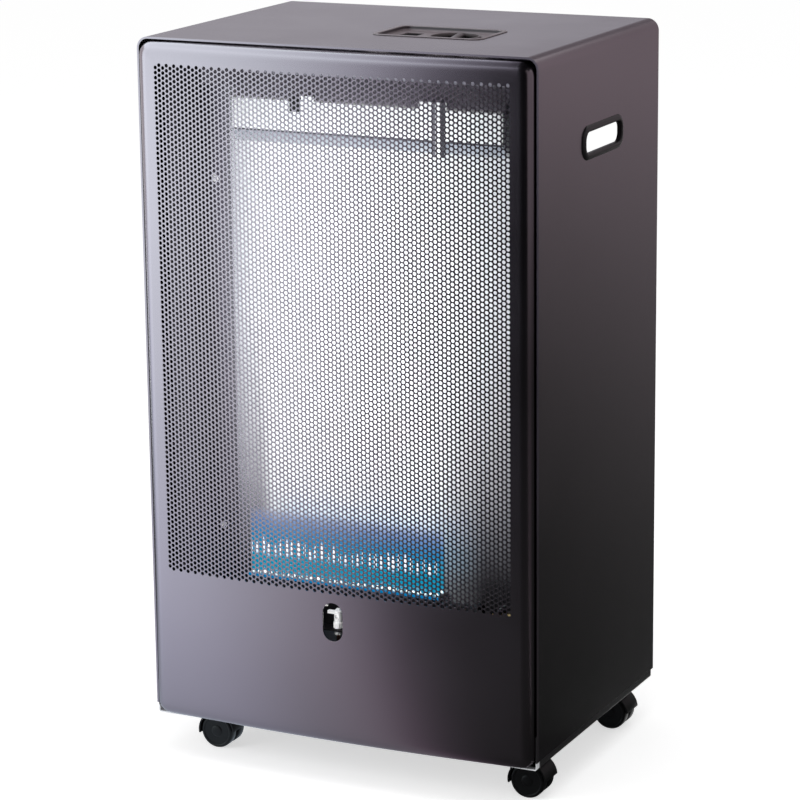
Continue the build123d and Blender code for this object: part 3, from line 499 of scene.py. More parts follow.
def hole_centres():
    """Column, x and z of the holes, in staggered columns from left to right. Every other column has one hole less."""
    centres = []
    for column in range(FIELD_COLUMNS):
        x = (column - (FIELD_COLUMNS - 1) / 2) * COLUMN_STEP
        rows = FIELD_ROWS if column % 2 else FIELD_ROWS - 1
        for row in range(rows):
            centres.append((column, x, FIELD_MIDDLE + (row - (rows - 1) / 2) * HOLE_PITCH))
    return np.array(centres)


def cell_points(centres):
    """Points round each hexagonal cell, at its corners and halfway, and which of the shared points each cell has."""
    corner = np.arange(CELL_POINTS) % 2 == 0
    reach = np.where(corner, HOLE_PITCH / math.sqrt(3), HOLE_PITCH / 2)
    x = centres[:, 1, None] + reach * np.cos(CELL_TURNS)
    z = centres[:, 2, None] + reach * np.sin(CELL_TURNS)
    points = np.stack([x, z], axis=-1).reshape(-1, 2)
    keys = np.round(points * STEPS_PER_METRE).astype(np.int64)
    _, first, index = np.unique(keys, axis=0, return_index=True, return_inverse=True)
    return points[first], index.reshape(-1, CELL_POINTS)


def rim_edges(cells):
    """Edges that only one cell has, in the cells' direction."""
    edges = np.stack([cells, np.roll(cells, -1, axis=1)], axis=-1).reshape(-1, 2)
    ordered = np.sort(edges, axis=1)
    _, index, counts = np.unique(ordered, axis=0, return_inverse=True, return_counts=True)
    return edges[counts[index.ravel()] == 1]


def first_loop(edges):
    """Point numbers round the closed loop that the first of the directed edges belongs to."""
    following = {int(a): int(b) for a, b in edges}
    start, here = next(iter(following.items()))
    loop = [start]
    while here != start:
        loop.append(here)
        here = following[here]
    return loop


def bake_map(mesh):
    """Flat projection of the piece from the front, for its baked textures."""
    layer = mesh.uv_layers.new(name="OFBake")
    points = np.empty(len(mesh.vertices) * 3, np.float32)
    mesh.vertices.foreach_get("co", points)
    points = points.reshape(-1, 3)
    corners = np.empty(len(mesh.loops), np.int32)
    mesh.loops.foreach_get("vertex_index", corners)
    low, high = points.min(0), points.max(0)
    span = max(high[0] - low[0], high[2] - low[2])
    flat = (points[corners][:, (0, 2)] - low[[0, 2]]) / span * (1 - 2 * MAP_MARGIN) + MAP_MARGIN
    layer.data.foreach_set("uv", flat.astype(np.float32).ravel())


def guard_band(number, centres):
    """One upright band of the perforated field: a sheet with round holes, closed all round."""
    points, cells = cell_points(centres)
    ring_x = (centres[:, 1, None] + HOLE_RADIUS * np.cos(CELL_TURNS)).ravel()
    ring_z = (centres[:, 2, None] + HOLE_RADIUS * np.sin(CELL_TURNS)).ravel()
    x = np.concatenate([points[:, 0], ring_x])
    z = np.concatenate([points[:, 1], ring_z])
    front = np.stack([x, panel_y(x), z], axis=1)
    back = front + np.array([0, PANEL_SHEET, 0])
    behind = len(front)
    rings = len(points) + np.arange(len(ring_x)).reshape(-1, CELL_POINTS)
    after_cells, after_rings = np.roll(cells, -1, axis=1), np.roll(rings, -1, axis=1)
    rim = rim_edges(cells)
    faces = [
        np.stack([cells, after_cells, after_rings, rings], axis=-1).reshape(-1, 4),
        np.stack([rings, after_rings, after_cells, cells], axis=-1).reshape(-1, 4) + behind,
        np.stack([rings, after_rings, after_rings + behind, rings + behind], axis=-1).reshape(-1, 4),
        np.stack([rim[:, 1], rim[:, 0], rim[:, 0] + behind, rim[:, 1] + behind], axis=-1),
    ]
    shape = np.concatenate([front, back]), np.concatenate(faces).tolist()
    bake_map(mesh_object(f"guard_band_{number}", shape, "cabinet", "bronze_paint").data)


def outline(inset):
    """Points round the panel at an inset from its outside, counterclockwise seen from the front."""
    radius = PANEL_CORNER - inset
    half, low, high = PANEL_HALF - PANEL_CORNER, PANEL_BOTTOM + PANEL_CORNER, PANEL_TOP - PANEL_CORNER
    corners = [(half, low, -90), (half, high, 0), (-half, high, 90), (-half, low, 180)]
    points = []
    for number, (x, z, start) in enumerate(corners):
        for step in range(CORNER_STEPS + 1):
            turn = math.radians(start + 90 / CORNER_STEPS * step)
            points.append((x + radius * math.cos(turn), z + radius * math.sin(turn)))
        next_x, next_z, next_start = corners[(number + 1) % 4]
        out = Vector((math.cos(math.radians(next_start)), math.sin(math.radians(next_start)))) * radius
        begin, end = Vector((x, z)) + out, Vector((next_x, next_z)) + out
        steps = LEVEL_STEPS if number % 2 else UPRIGHT_STEPS
        for step in range(1, steps):
            points.append(tuple(begin.lerp(end, step / steps)))
    return np.array(points)


def inside(loop, points):
    """Whether each point lies inside the closed loop, by counting crossings."""
    result = np.zeros(len(points), bool)
    ahead = np.roll(loop, -1, axis=0)
    for (x1, z1), (x2, z2) in zip(loop, ahead):
        crosses = (z1 > points[:, 1]) != (z2 > points[:, 1])
        if crosses.any():
            at = x1 + (points[:, 1] - z1) * (x2 - x1) / (z2 - z1)
            result ^= crosses & (points[:, 0] < at)
    return result


def peep_outline():
    """Points round the upright slot through which the pilot flame is seen."""
    straight = PEEP_HALF_HEIGHT - PEEP_HALF_WIDTH
    points = []
    for start, z in ((0, PEEP_Z + straight), (180, PEEP_Z - straight)):
        for step in range(2 * CORNER_STEPS + 1):
            turn = math.radians(start + 90 / CORNER_STEPS * step)
            points.append((PEEP_HALF_WIDTH * math.cos(turn), z + PEEP_HALF_WIDTH * math.sin(turn)))
    return np.array(points)


def panel_frame(centres):
    """The panel round the perforated field: plain sheet, rolled edges and returned sides, as one closed shell."""
    points, cells = cell_points(centres)
    rim, hole, peep = outline(PANEL_ROLL), points[first_loop(rim_edges(cells))], peep_outline()
    loops = [rim, hole, peep]
    grid = [(x, z) for x in GRID_X for z in GRID_Z if abs(x) > PEEP_CLEAR_X or abs(z - PEEP_Z) > PEEP_CLEAR_Z]
    flat = [tuple(point) for loop in loops for point in loop] + grid
    edges, start = [], 0
    for loop in loops:
        edges += [(start + k, start + (k + 1) % len(loop)) for k in range(len(loop))]
        start += len(loop)
    made, _, triangles, *_ = delaunay_2d_cdt([Vector(p) for p in flat], edges, [], 1, 1e-7)
    made = np.array([tuple(p) for p in made])
    triangles = np.array(triangles)
    middles = made[triangles].mean(axis=1)
    triangles = triangles[~inside(hole, middles) & ~inside(peep, middles)]
    x, z = made[:, 0], made[:, 1]
    front = np.stack([x, panel_y(x), z], axis=1)
    vertices = [front, front + np.array([0, PANEL_SHEET, 0])]
    behind = len(front)
    faces = triangles.tolist() + (triangles[:, ::-1] + behind).tolist()
    rim_points, *openings = [
        [int(np.argmin(((made - point) ** 2).sum(axis=1))) for point in loop] for loop in loops
    ]
    for loop in openings:
        for here, after in zip(loop, loop[1:] + loop[:1]):
            faces.append([here, after, after + behind, here + behind])

    # Rolled edge and side outside, rim at the back, then the same inside.
    count = len(rim)
    face_level = panel_y(rim[:, 0])

    def rolled(step, thick):
        turn = math.pi / 2 * step / ROLL_STEPS
        radius = PANEL_ROLL - thick
        return outline(thick + radius * (1 - math.sin(turn))), face_level + thick + radius * (1 - math.cos(turn))

    rings = [rolled(step, 0.0) for step in range(1, ROLL_STEPS + 1)]
    rings += [(outline(inset), np.full(count, PANEL_BACK)) for inset in (0.0, PANEL_SHEET)]
    rings += [rolled(step, PANEL_SHEET) for step in range(ROLL_STEPS, 0, -1)]
    levels = [rim_points]
    for number, (shape, depth) in enumerate(rings):
        vertices.append(np.stack([shape[:, 0], depth, shape[:, 1]], axis=1))
        start = 2 * behind + number * count
        levels.append(list(range(start, start + count)))
    levels.append([index + behind for index in rim_points])
    for inner, outer in zip(levels, levels[1:]):
        for k in range(count):
            n = (k + 1) % count
            faces.append([inner[n], inner[k], outer[k], outer[n]])
    mesh = mesh_object(
        "panel_frame", (np.concatenate(vertices), faces), "cabinet", "bronze_paint", ["front_panel"]
    ).data
    bm = bmesh.new()
    bm.from_mesh(mesh)
    bmesh.ops.recalc_face_normals(bm, faces=bm.faces)
    bm.to_mesh(mesh)
    bm.free()
    mesh.set_sharp_from_angle(angle=SMOOTH_ANGLE)


centres = hole_centres()
panel_frame(centres)
for band in range(BANDS):
    guard_band(band + 1, centres[centres[:, 0] // (FIELD_COLUMNS // BANDS) == band])


# ---------------------------------------------------------------- turned and rounded pieces
SCREW_SECTION = [(1.0, 0.0), (0.98, 0.25), (0.85, 0.45), (0.6, 0.58), (0.3, 0.63)]
SCREW_SIDES = 24
SCREW_RADIUS = 0.0042
SCREW_RECESS = 0.35
SCREW_PLACES = [(-0.184, 0.222), (-0.184, 0.59), (0.184, 0.222), (0.184, 0.59)]
DIVIDER_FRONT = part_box("bay_divider")[0][1]


def screw_head(name, x, z):
    """Domed cross-recessed screw head on the front of the divider."""
    profile = [(radius * SCREW_RADIUS, height * SCREW_RADIUS) for radius, height in SCREW_SECTION]
    vertices, faces = lathe(profile, (x, DIVIDER_FRONT, z), (0, -1, 0), SCREW_SIDES, capped=True)
    for point in vertices[-SCREW_SIDES::SCREW_SIDES // 4]:
        point.y += SCREW_RECESS * SCREW_RADIUS
    mesh_object(name, (vertices, faces), "cabinet", "bright_steel", angle=math.pi)


for number, place in enumerate(SCREW_PLACES):
    screw_head(f"divider_screw_{number + 1}", *place)

MERGE_GAP = 2e-6
FLAT_ANGLE = math.radians(0.6)
EDGE_ANGLE = 0.6


def softened(node_name, body, slot_name, width, segments=2, made_of=None):
    """Piece in place of a CAD node with the node's own form and its sharp edges rounded."""
    source = nodes[node_name]
    bm = bmesh.new()
    bm.from_mesh(source.data)
    bmesh.ops.transform(bm, matrix=source.matrix_world, verts=bm.verts)
    bmesh.ops.remove_doubles(bm, verts=bm.verts, dist=MERGE_GAP)
    bmesh.ops.dissolve_limit(bm, angle_limit=FLAT_ANGLE, verts=bm.verts, edges=bm.edges)
    sharp = [edge for edge in bm.edges if len(edge.link_faces) == 2 and edge.calc_face_angle(0.0) > EDGE_ANGLE]
    bmesh.ops.bevel(
        bm, geom=sharp, offset=width, segments=segments, profile=0.5, affect="EDGES", clamp_overlap=True,
        harden_normals=False,
    )
    name = node_name + "_moulded"
    mesh = bpy.data.meshes.new(name)
    bm.to_mesh(mesh)
    bm.free()
    mesh.shade_smooth()
    mesh.set_sharp_from_angle(angle=SMOOTH_ANGLE)
    placed(name, mesh, body, slot_name, [node_name], made_of)


FINGER_Y, FINGER_Z, FINGER_CORNER = 0.0455, 0.0105, 0.0084
SHEET_FACE = 0.215
# How far the rim's section lies outside the finger hole, and how proud of the sheet.
RIM_SECTION = [
    (0.0, -0.003), (0.0, 0.0012), (0.0004, 0.0019), (0.0011, 0.0024), (0.0019, 0.0025), (0.0031, 0.0024),
    (0.0043, 0.0021), (0.0053, 0.0016), (0.0061, 0.0009), (0.0065, 0.0001), (0.0065, 0.0), (0.002, 0.0),
    (0.002, -0.003),
]


def rounded_loop(half_wide, half_tall, corner, steps=8):
    """Points round a rounded rectangle, counterclockwise."""
    points = []
    wide, tall = half_wide - corner, half_tall - corner
    for x, z, start in ((wide, -tall, -90), (wide, tall, 0), (-wide, tall, 90), (-wide, -tall, 180)):
        for step in range(steps + 1):
            turn = math.radians(start + 90 * step / steps)
            points.append((x + corner * math.cos(turn), z + corner * math.sin(turn)))
    return points


def handle_rim(hand, node_name):
    """Moulded rim of a handle slot, rounded in section, with its collar behind the sheet."""
    low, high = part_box(node_name)
    middle_y, middle_z = (low[1] + high[1]) / 2, (low[2] + high[2]) / 2
    loops = []
    for out, proud in RIM_SECTION:
        loop = rounded_loop(FINGER_Y + out, FINGER_Z + out, FINGER_CORNER + 0.8 * out)
        loops.append([(hand * (SHEET_FACE + proud), middle_y + y, middle_z + z) for y, z in loop])
    vertices, faces = ring_stack(loops, closed=True)
    if hand < 0:
        faces = [face[::-1] for face in faces]
    mesh_object(node_name + "_rim", (vertices, faces), "cabinet", "black_plastic", [node_name])


KNOB_RIM = 0.002
KNOB_DEPTH = 0.013
GRIP_HALF = 0.0045
GRIP_LEAN = math.radians(11)
GRIP_WAIST = 0.16
GRIP_STEPS = 24


def turned_knob():
    """Control knob: skirt and thin rim round a dish, a grip bar across it and a boss on the shaft below."""
    low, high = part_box("control_knob")
    x, y, foot, top = (low[0] + high[0]) / 2, (low[1] + high[1]) / 2, low[2], high[2]
    radius, bottom = (high[0] - low[0]) / 2, top - KNOB_DEPTH
    dish = radius - KNOB_RIM
    profile = [
        (TIP, bottom - 0.0001), (0.0041, bottom - 0.0001), (0.0041, foot), (0.0066, foot), (0.007, foot + 0.0004),
        (0.007, bottom), (radius - 0.0012, bottom), (radius - 0.0003, bottom + 0.0003), (radius, bottom + 0.0012),
        (radius, top - 0.001), (radius - 0.0003, top - 0.0003), (radius - 0.0009, top), (dish + 0.0005, top),
        (dish + 0.0001, top - 0.0003), (dish, top - 0.0008), (dish, bottom + 0.0036),
        (dish - 0.0005, bottom + 0.0024), (dish - 0.0016, bottom + 0.002), (TIP, bottom + 0.002),
    ]
    body = lathe(profile, (x, y, 0.0), UP, sides=72)
    reach = dish - 0.0002
    along = Vector((-math.sin(GRIP_LEAN), math.cos(GRIP_LEAN), 0.0))
    across = Vector((math.cos(GRIP_LEAN), math.sin(GRIP_LEAN), 0.0))
    side = [(1.0, bottom + 0.0015), (0.94, top - 0.0022), (0.8, top - 0.001), (0.5, top - 0.0003)]
    section = [(-wide, level) for wide, level in side] + [(0.0, top)] + side[::-1]
    loops = []
    for step in range(GRIP_STEPS + 1):
        share = step / GRIP_STEPS * 2 - 1
        half = GRIP_HALF * (1 - GRIP_WAIST * (1 - share**2))
        middle = Vector((x, y, 0.0)) + along * share * reach
        loops.append([middle + across * wide * half + Vector((0, 0, level)) for wide, level in section])
    shape = joined([body, ring_stack(loops, capped=True)])
    mesh_object("knob_turned", shape, "knob", "black_plastic", ["control_knob"], knob_painted_highlight)


WHEEL_WIDTH = 0.011
AXLE_RADIUS, AXLE_OVERLAP = 0.0025, 0.0005


def turned_wheels(corner):
    """Twin wheels of a caster on their axle: rounded treads and dished faces."""
    name = f"caster_{corner}_wheels"
    low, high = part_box(name)
    x, y, radius = (low[0] + high[0]) / 2, (low[1] + high[1]) / 2, (high[2] - low[2]) / 2
    outer = (high[1] - low[1]) / 2
    inner = outer - WHEEL_WIDTH
    profile = [
        (TIP, inner), (radius - 0.002, inner), (radius - 0.0006, inner + 0.0005), (radius, inner + 0.0018),
        (radius, outer - 0.0022), (radius - 0.0005, outer - 0.0009), (radius - 0.0015, outer - 0.0002),
        (radius - 0.0026, outer), (radius - 0.0034, outer - 0.0002), (radius - 0.0038, outer - 0.0007),
        (0.0062, outer - 0.001), (0.0054, outer - 0.0004), (0.0046, outer - 0.0002), (TIP, outer - 0.0001),
    ]
    middle = (x, y, low[2] + radius)
    parts = [lathe(profile, middle, (0, side, 0), sides=64) for side in (-1, 1)]
    axle = [(AXLE_RADIUS, -inner - AXLE_OVERLAP), (AXLE_RADIUS, inner + AXLE_OVERLAP)]
    parts.append(lathe(axle, middle, (0, 1, 0), sides=24))
    mesh_object(name + "_turned", joined(parts), f"wheels_{corner}", "caster_plastic", [name])


handle_rim(-1, "handle_bezel_left")
handle_rim(1, "handle_bezel_right")
turned_knob()
softened("control_bezel", "cabinet", "bronze_plastic", 0.0004, made_of=bezel_wall_shaded_plastic)
softened("igniter_button", "igniter", "black_plastic", 0.0005, made_of=MATERIALS["button_plastic"])
softened("gas_valve", "cabinet", "valve_casting", 0.0012, 3)
softened("burner_body", "cabinet", "darkened_steel", 0.0015, 3)
for corner in ("front_left", "front_right", "back_left", "back_right"):
    turned_wheels(corner)
    softened(f"caster_{corner}_hood", f"caster_{corner}", "caster_plastic", 0.0008, 3)


# ---------------------------------------------------------------- flame
BURNER_LOW, BURNER_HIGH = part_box("burner_strip")
BURNER_LEFT, BURNER_RIGHT = BURNER_LOW[0], BURNER_HIGH[0]
BURNER_Y = (BURNER_LOW[1] + BURNER_HIGH[1]) / 2
BURNER_TOP = BURNER_HIGH[2]
FLAME_HEIGHT = 0.066
FLAME_DEPTH = 0.005
FLAME_BULGE = 0.003
FLAME_COLUMNS, FLAME_ROWS = 128, 14
FLAME_MARGIN, FLAME_LIFT = 0.001, 0.0004
CORE_LIFT, CORE_DEPTH = 0.018, 0.009
PORTS = 32
PORT_DEPTH = 0.006
EDGE_PROUD = 0.0003
UNLIT = {"Base Color": (0, 0, 0, 1), "Roughness": 1.0, "Specular IOR Level": 0.0}


def glow(name, base, height, stops, strength=1.0, ragged=0.0):
    """Glowing, partly see-through material over the burner, from (share of its height, colour, alpha) stops."""
    made, principled, fill, add = shader(name)
    place = add("TexCoord").outputs["Object"]
    level = add("SeparateXYZ", {0: place}).outputs["Z"]
    if ragged:
        fine = add("Mapping", {"Vector": place, "Scale": (150.0, 150.0, 12.0)}).outputs["Vector"]
        noise = add("TexNoise", {"Vector": fine, "Scale": 1.0, "Detail": 3.0})
        level = line(add, noise.outputs["Fac"], ragged, level)
    share = share_between(add, level, base, base + height)
    fill(principled, {
        **UNLIT,
        "Emission Strength": strength,
        "Emission Color": banded(add, share, [(stop, color) for stop, color, _ in stops]),
        "Alpha": banded(add, share, [(stop, (alpha,) * 3) for stop, _, alpha in stops]),
    })
    return made


flame_glow = glow("flame_glow", BURNER_TOP, FLAME_HEIGHT, [
    (0.0, (0.0, 0.27, 0.46), 0.9),
    (0.3, (0.0, 0.29, 0.5), 0.9),
    (0.58, (0.01, 0.22, 0.5), 0.84),
    (0.8, (0.12, 0.24, 0.54), 0.56),
    (1.0, (0.34, 0.4, 0.68), 0.0),
], ragged=-0.006)
flame_core = glow("flame_core", BURNER_TOP + CORE_LIFT, 0.024, [
    (0.0, (0.35, 0.55, 0.75), 0.0),
    (0.25, (0.8, 0.88, 1.0), 0.75),
    (0.7, (1.0, 0.98, 1.0), 0.95),
    (1.0, (0.7, 0.8, 1.0), 0.0),
], strength=1.3)
port_glow = glow("port_glow", BURNER_TOP, 0.003, [
    (0.0, (0.6, 0.9, 1.0), 1.0),
    (0.4, (1.0, 1.0, 1.0), 1.0),
    (1.0, (1.0, 0.97, 0.95), 1.0),
], strength=1.4)
# A thin blue glow on the burner's top front edge: painted light of the flames on the metal.
flame_light_on_edge = glow("flame_light_on_edge", BURNER_TOP - 0.004, 0.004, [(0.0, (0.0, 0.16, 0.4), 1.0), (1.0, (0.0, 0.2, 0.46), 1.0)])


def flame_piece(name, shape, made_of):
    """Glowing piece of the flame, which throws no shadow."""
    mesh_object(name, shape, "cabinet", "burner_steel", made_of=made_of).visible_shadow = False


def flame_curtain(name, side, seed):
    """One wavering sheet of flame over a row of ports, which bulges to its side of the burner."""
    noise = random.Random(seed)
    y = BURNER_Y + side * FLAME_DEPTH
    vertices, faces = [], []
    for i in range(FLAME_COLUMNS + 1):
        u = i / FLAME_COLUMNS
        x = BURNER_LEFT + FLAME_MARGIN + u * (BURNER_RIGHT - BURNER_LEFT - 2 * FLAME_MARGIN)
        port = 0.5 - 0.5 * math.cos(2 * math.pi * u * PORTS)
        wander = noise.uniform(-0.0006, 0.0006)
        for k in range(FLAME_ROWS + 1):
            v = k / FLAME_ROWS
            lean = side * FLAME_BULGE * math.sin(math.pi * min(1, v * 1.3)) * (0.6 + 0.4 * port)
            vertices.append((x, y + lean + wander * v, BURNER_TOP + FLAME_LIFT + v * FLAME_HEIGHT))
    for i in range(FLAME_COLUMNS):
        for k in range(FLAME_ROWS):
            a = i * (FLAME_ROWS + 1) + k
            faces.append((a, a + FLAME_ROWS + 1, a + FLAME_ROWS + 2, a + 1))
    flame_piece(name, (vertices, faces), flame_glow)


flame_curtain("flame_front", -1, 3)
flame_curtain("flame_back", 1, 4)

spikes, dots = [], []
for port in range(PORTS):
    x = BURNER_LEFT + (port + 0.5 + rng.uniform(-0.12, 0.12)) * (BURNER_RIGHT - BURNER_LEFT) / PORTS
    low = BURNER_TOP + CORE_LIFT + rng.uniform(-0.002, 0.002)
    tall = rng.uniform(0.015, 0.023)
    wide = rng.uniform(0.001, 0.0015)
    profile = [(TIP, 0), (wide, 0.25 * tall), (wide, 0.6 * tall), (wide * 0.6, 0.85 * tall), (TIP, tall)]
    spikes.append(lathe(profile, (x, BURNER_Y - CORE_DEPTH, low), UP, sides=8))
    for side in (-1, 1):
        size = rng.uniform(0.0016, 0.0022)
        dome = [(size, 0), (size * 0.9, size * 0.6), (size * 0.55, size), (TIP, size * 1.2)]
        shift = rng.uniform(-0.0008, 0.0008)
        dots.append(lathe(dome, (x + shift, BURNER_Y + side * PORT_DEPTH, BURNER_TOP), UP, sides=10))
flame_piece("flame_cores", joined(spikes), flame_core)
flame_piece("port_flames", joined(dots), port_glow)

# Plane of that painted flame light, just in front of the burner's face and below its top.
edge_ends = ((BURNER_LEFT, 0.003), (BURNER_RIGHT, 0.003), (BURNER_RIGHT, 0.0001), (BURNER_LEFT, 0.0001))
edge_points = [(x, BURNER_LOW[1] - EDGE_PROUD, BURNER_TOP - below) for x, below in edge_ends]
mesh_object("burner_edge_flame_light", (edge_points, [(0, 1, 2, 3)]), "cabinet", "burner_steel", made_of=flame_light_on_edge)


# ---------------------------------------------------------------- floor, light
CARD_LIGHT = 2.75
CORNER_LIGHT = 0.09
SIDE_LIGHT = 0.33
BACK_LIGHT = 0.56
RIGHT_LIGHT = 0.5
FLOOR_GLOW = 0.6
SKY_LIGHT = 0.45
LEFT_TINT, CORNER_TINT, RIGHT_TINT = (0.97, 1.1, 1.13), (1.05, 0.95, 1.02), (1.05, 0.97, 1.03)
SIDE_TINT_LOW, SIDE_TINT_HIGH = (0.93, 1.08, 0.98, 1.0), (1.1, 0.96, 1.03, 1.0)
# How far the mirrored sight moves per metre away from the object, and how much its picture grows.
FRONT_SIGHT_ACROSS, FRONT_SIGHT_UP, SIDE_SIGHT_UP = (0.514, 1.3), (0.431, 0.375), (0.416, 0.362)
FIELD_TOP, CABINET_TOP = 0.73, 0.745
LOW_END, HIGH_START = 0.12, 0.56
# Below the field's top the bands lean, and their light rises, up to a limit. Low down they lean back and fade.
SLANT_SLOPE, SLANT_LIMIT = 0.35, 0.045
LIFT_START, LIFT_SLOPE, LIFT_LIMIT = 0.93, 1.5, 0.15
LOW_SLANT, LOW_SLANT_FROM = 0.45, 0.14
FADE_SLOPE, FADE_FROM = 3.3, 0.15
SIDE_REACH, SIDE_POWER, SIDE_LEAST = 0.72, 2.6, 0.04
# Slope and start of straight lines: along the cabinet's side and its swing there, and over the other cards.
SIDE_SIGHT_BACK, SIDE_REARWARD, SIDE_SWING, SIDE_SWING_LIMIT = -2.45, (3.2, 0.5), (-1.8, 1.6), 0.65
BACK_SIGHT_ACROSS = 1.68
CANOPY_SHIFT, CANOPY_SPREAD = 0.68, 2.3
RIGHT_BESIDE, RIGHT_IN_FRONT, RIGHT_RISE, RIGHT_LEAST = (0.45, 0.45), 0.6, (3.6, -0.25), 0.02
LEFT_FAR, LEFT_FAR_LIMIT, LEFT_SHOWN, LEFT_LEAST = (-0.35, 0.3), 0.95, (-9.0, 3.4), 0.05
ROLL_X, ROLL_Y = -0.21, -0.165
# Colour of the light that the front shows from left to right, high up and low down, and the top likewise.
CARD_SPAN = (-0.3, 0.3)
HIGH_BANDS = [
    (-0.30, (0.97, 1.15, 1.17)),
    (-0.10, (0.79, 0.94, 0.96)),
    (0.00, (0.54, 0.62, 0.66)),
    (0.05, (0.42, 0.465, 0.51)),
    (0.09, (0.17, 0.17, 0.21)),
    (0.13, (0.056, 0.054, 0.07)),
    (0.175, (0.016, 0.0155, 0.019)),
    (0.21, (0.003, 0.003, 0.0035)),
]
LOW_BANDS = [
    (-0.30, (0.56, 0.65, 0.74)),
    (-0.145, (0.42, 0.47, 0.54)),
    (-0.06, (0.30, 0.32, 0.355)),
    (0.02, (0.235, 0.225, 0.25)),
    (0.05, (0.14, 0.118, 0.143)),
    (0.08, (0.06, 0.056, 0.063)),
    (0.12, (0.028, 0.029, 0.029)),
    (0.25, (0.015, 0.016, 0.0155)),
]
BACK_BANDS = [
    (-0.30, (1.02, 1.0, 1.08)),
    (0.13, (0.99, 0.98, 1.08)),
    (0.18, (0.86, 0.8, 0.88)),
    (0.22, (0.6, 0.52, 0.58)),
    (0.30, (0.45, 0.4, 0.44)),
]


def scaled(add, color, factor):
    """Output that is a colour, as a socket or three numbers, times a number."""
    return add("VectorMath", {0: color, "Scale": factor}, operation="SCALE").outputs[0]


def mixed(add, share, first, second):
    """Output that goes from the first colour to the second."""
    return add("Mix", {0: share, 6: first, 7: second}, data_type="RGBA").outputs[2]


def traced(add, place, away, shift, spread):
    """Place on the object that mirrors a place on a card to the camera."""
    return calc(add, "DIVIDE", line(add, away, shift, place), line(add, away, spread, 1.0))


# The functions below give the colour of a card from its place, as outputs named X, Y and Z.
def front_light(add, place):
    """Light of the cards in front: bright at the left and high up, falling to black at the right."""
    away = line(add, place["Y"], -1.0, PANEL_FACE)
    across = traced(add, place["X"], away, *FRONT_SIGHT_ACROSS)
    up = traced(add, place["Z"], away, *FRONT_SIGHT_UP)
    below_top = calc(add, "SUBTRACT", FIELD_TOP, up, clamp=True)
    slant = calc(add, "MINIMUM", calc(add, "MULTIPLY", below_top, SLANT_SLOPE), SLANT_LIMIT)
    rise = calc(add, "MINIMUM", calc(add, "MULTIPLY", below_top, LIFT_SLOPE), LIFT_LIMIT)
    lift = calc(add, "ADD", rise, LIFT_START)
    high = scaled(add, banded(add, calc(add, "ADD", across, slant), HIGH_BANDS, CARD_SPAN), lift)
    low_place = line(add, calc(add, "SUBTRACT", up, LOW_SLANT_FROM), LOW_SLANT, across)
    fade = calc(add, "MINIMUM", line(add, calc(add, "SUBTRACT", up, FADE_FROM), FADE_SLOPE, 1.0), 1.0)
    low = scaled(add, banded(add, low_place, LOW_BANDS, CARD_SPAN), fade)
    return scaled(add, mixed(add, share_between(add, up, LOW_END, HIGH_START), low, high), CARD_LIGHT)


def canopy_light(add, place):
    """Light of the card overhead, which the rolled edges mirror: bright at the left, dark at the right."""
    across = calc(add, "DIVIDE", calc(add, "ADD", place["X"], CANOPY_SHIFT), CANOPY_SPREAD)
    return scaled(add, banded(add, across, HIGH_BANDS, CARD_SPAN), CARD_LIGHT)


def side_light(add, place):
    """Light of the cards beside and behind: brighter high up, falling to nearly black near the floor."""
    share = share_between(add, traced(add, place["Z"], place["Y"], *SIDE_SIGHT_UP), 0.0, SIDE_REACH)
    level = line(add, calc(add, "POWER", share, SIDE_POWER), SIDE_LIGHT, SIDE_LEAST)
    station = line(add, calc(add, "SUBTRACT", place["X"], SHEET_FACE), SIDE_SIGHT_BACK, place["Y"])
    rearward = line(add, station, *SIDE_REARWARD, clamp=True)
    swing = calc(add, "MINIMUM", line(add, share, *SIDE_SWING), SIDE_SWING_LIMIT)
    uneven = line(add, calc(add, "SUBTRACT", rearward, 0.5), swing, 1.0)
    tint = mixed(add, share, SIDE_TINT_LOW, SIDE_TINT_HIGH)
    return scaled(add, tint, calc(add, "MULTIPLY", level, uneven))


def back_light(add, place):
    """Light of the card behind, which the top of the cabinet mirrors: less towards its right edge."""
    rise = calc(add, "SUBTRACT", place["Z"], CABINET_TOP)
    return scaled(add, banded(add, line(add, rise, BACK_SIGHT_ACROSS, place["X"]), BACK_BANDS), BACK_LIGHT)


def right_light(add, place):
    """Light of the card at the right: brighter higher up, and a little more beside the cabinet than in front."""
    share = calc(add, "MAXIMUM", line(add, place["Y"], *RIGHT_BESIDE, clamp=True), RIGHT_IN_FRONT)
    height = line(add, place["Z"], *RIGHT_RISE, clamp=True)
    return scaled(add, RIGHT_TINT, line(add, calc(add, "MULTIPLY", share, height), RIGHT_LIGHT, RIGHT_LEAST))


def left_light(add, place):
    """Light of the card on the floor at the left, which the panel's left roll mirrors.

    It is brighter farther away, and nearly black behind, where the outermost part of the roll is turned to.
    """
    far = calc(add, "MINIMUM", line(add, place["X"], *LEFT_FAR), LEFT_FAR_LIMIT)
    aside = calc(add, "SUBTRACT", ROLL_X, place["X"])
    slope = calc(add, "DIVIDE", calc(add, "SUBTRACT", place["Y"], ROLL_Y), aside)
    shown = line(add, slope, *LEFT_SHOWN, clamp=True)
    return scaled(add, LEFT_TINT, line(add, calc(add, "MULTIPLY", far, shown), CARD_LIGHT, LEFT_LEAST))


def corner_light(add, place):
    """Light of the card on the floor at the right in front, which the panel's right roll mirrors: all one level."""
    return scaled(add, CORNER_TINT, CORNER_LIGHT)


def upright(start, end, low, high):
    """Corners of an upright card between two places on the floor."""
    return [(*start, low), (*end, low), (*end, high), (*start, high)]


def level_card(places, height=0.002):
    """Corners of a level card, just over the floor or higher."""
    return [(*place, height) for place in places]


